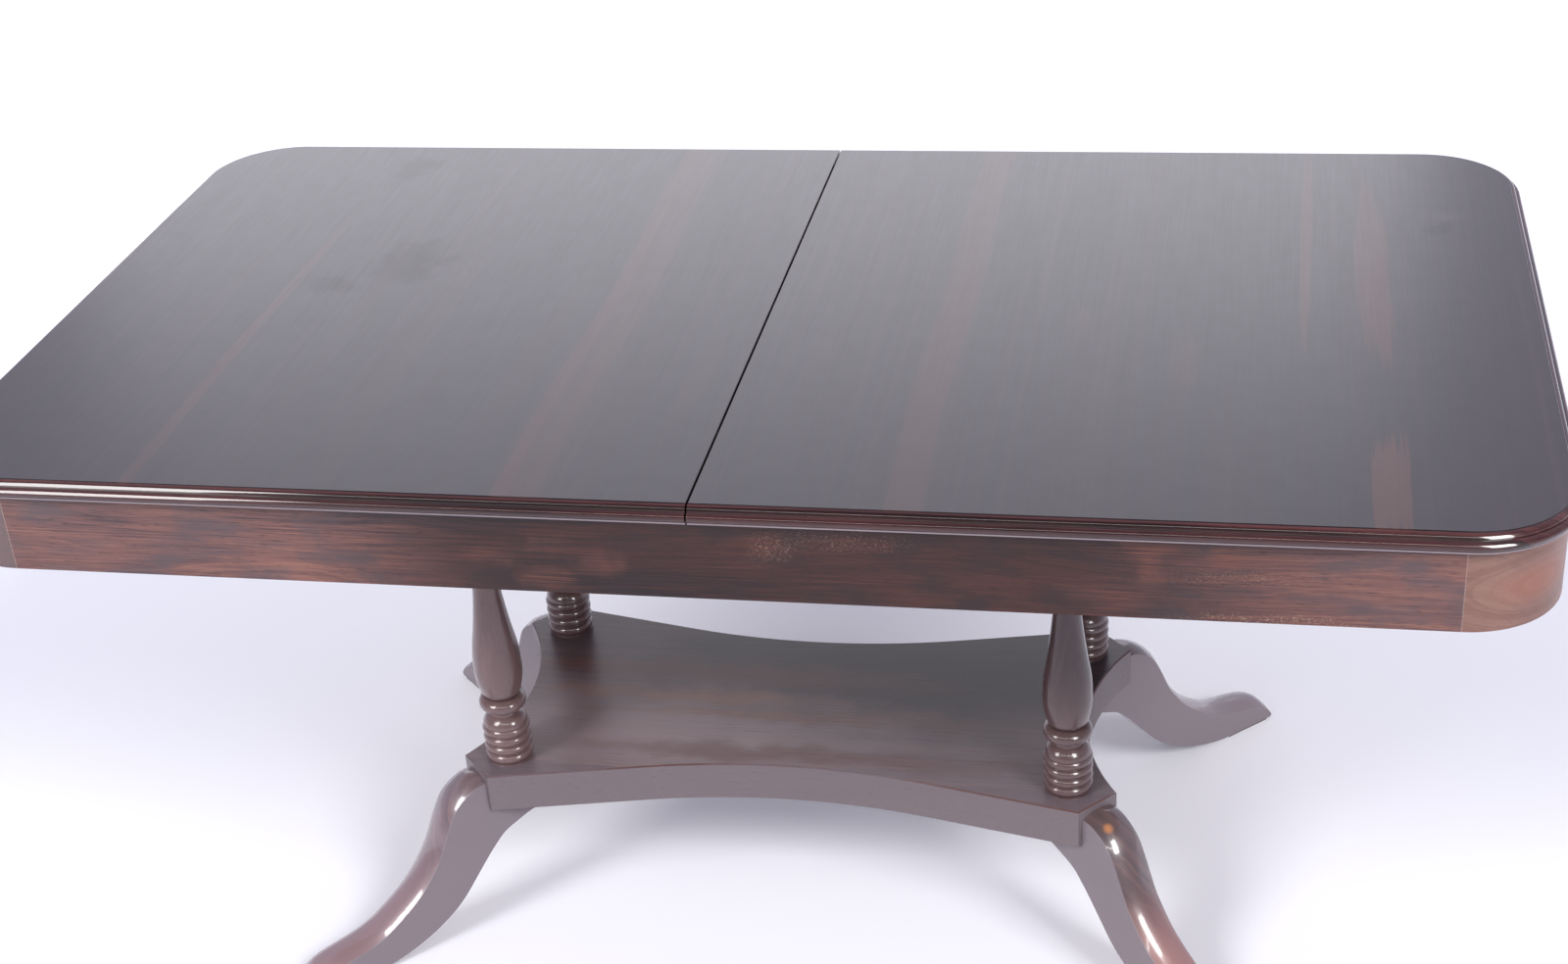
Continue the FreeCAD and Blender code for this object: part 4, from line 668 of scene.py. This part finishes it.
def bare_below(wood, height, seam):
    """Show the pine core below that height, but not within that distance of the stained seam."""
    tree = wood["tree"]
    axes = add(tree, "ShaderNodeSeparateXYZ", {0: wood["place"]})
    above = add(tree, "ShaderNodeMath", {0: axes.outputs["Z"], 1: height}, operation="GREATER_THAN")
    edge = add(tree, "ShaderNodeMath", {0: axes.outputs["X"], 1: 0.0, 2: seam}, operation="COMPARE")
    above = add(tree, "ShaderNodeMath", {0: above.outputs[0], 1: edge.outputs[0]},
                operation="MAXIMUM").outputs[0]
    show_pine(wood, above)
    return above


# a shallow dent near the right end: its far wall is painted paler, a painted highlight where it catches the
# light
dent_lit_wall = patch(tree, top["place"], DENT_LIT_WALL, DENT_LIT_REACH, 0.95)
top["colour"] = add(tree, "ShaderNodeMix", {0: dent_lit_wall, 6: top["colour"], 7: linear("#352c2e")},
                    data_type="RGBA").outputs[2]
above = bare_below(top, UNDER_VENEER, SEAM_STAIN)
dress(["top_panel_left", "top_panel_right"], polish(top, 0.36, HAZE, HAZE_SPREAD))

# the polish gives a haze, which is weaker where it is clouded or rubbed and missing on the bare pine
cloudy = add(tree, "ShaderNodeTexNoise", {"Vector": top["place"], "Scale": 1 / 30, "Detail": 4.0})
ragged_rub = swayed(top, cloudy, RUB_SWAY)
gloss = add(tree, "ShaderNodeMapRange", {"Value": cloudy.outputs["Fac"], "From Min": 0.35, "From Max": 0.65,
                                         "To Min": 0.95, "To Max": 1.0}).outputs[0]
for centre, reach, amount in RUBS:
    gloss = add(tree, "ShaderNodeMath", {0: patch(tree, ragged_rub, centre, reach, 0.5), 1: -amount,
                                         2: gloss}, operation="MULTIPLY_ADD").outputs[0]
dull = add(tree, "ShaderNodeMath", {0: gloss, 1: above}, operation="MULTIPLY")
tree.links.new(dull.outputs[0], tree.nodes["Principled BSDF"].inputs["Coat Weight"])


# Moulding: solid rosewood lengths glued round the panels' edges, with curved lengths at the corners.
# It is polished, so its beads glint, and its narrow lower fillet is painted pale, a painted reflection that
# shows as a pale line.
MOULDING_HUES = ("#200d0c", "#422120", "#5f3430")
FILLET_MIDDLE, FILLET_HALF, FILLET_SHEEN = 732.2, 0.8, 0.8
mouldings = {}
for name, turn in (("along", ALONG_X), ("across", ALONG_Y)):
    moulded = timber(f"polished_rosewood_moulding_{name}", turn, 9, 10, MOULDING_HUES)
    tree = moulded["tree"]
    upright = add(tree, "ShaderNodeSeparateXYZ", {0: moulded["place"]}).outputs["Z"]
    # the lower fillet is painted pale: a painted reflection
    fillet_sheen = add(tree, "ShaderNodeMath", {0: upright, 1: FILLET_MIDDLE, 2: FILLET_HALF},
                 operation="COMPARE")
    fillet_sheen = add(tree, "ShaderNodeMath", {0: fillet_sheen.outputs[0], 1: FILLET_SHEEN}, operation="MULTIPLY")
    moulded["colour"] = add(tree, "ShaderNodeMix", {0: fillet_sheen.outputs[0], 6: moulded["colour"],
                                                    7: linear("#9c8f93")}, data_type="RGBA").outputs[2]
    mouldings[name] = polish(moulded, 0.34, 1.0, 0.06, 0.03, 0.1)
lengths = [node for node in nodes if node.startswith("moulding_")]
dress([node for node in lengths if "_end_" not in node], mouldings["along"])
dress([node for node in lengths if "_end_" in node], mouldings["across"])


# Seam: beech dowels in the edge of one half enter holes in the other, and two brass catches pull
# the halves together: a lever on one half's plate hooks over the other plate's stud.
dress(["seam_dowels"], pegs["material"])
# cast brass, filed and lacquered long ago, so it is warm with browner patches
brass = metal("aged_cast_brass", "#c09a58", "#86693a", 0.26, 0.48, 0.6)
dress(["catch_lever_front", "catch_lever_rear", "catch_plates", "catch_keepers"], brass)


# Spare leaf: a panel like the top's with its own mouldings and dowels. It lies in the frame turned
# by a quarter, so its grain runs along the table there.
leaf = timber("rosewood_leaf_veneer", ALONG_X, 12, 14, TOP_HUES, stretch=14, fine=0.6)
LEAF_VENEER = 2
LEAF_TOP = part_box("leaf_panel")[1][2] * MM
above = bare_below(leaf, LEAF_TOP - LEAF_VENEER, 0.0)
dress(["leaf_panel"], polish(leaf, 0.36, HAZE, HAZE_SPREAD))
leaf["tree"].links.new(above, leaf["tree"].nodes["Principled BSDF"].inputs["Coat Weight"])
dress(["leaf_mouldings"], mouldings["across"])
dress(["leaf_dowels"], pegs["material"])
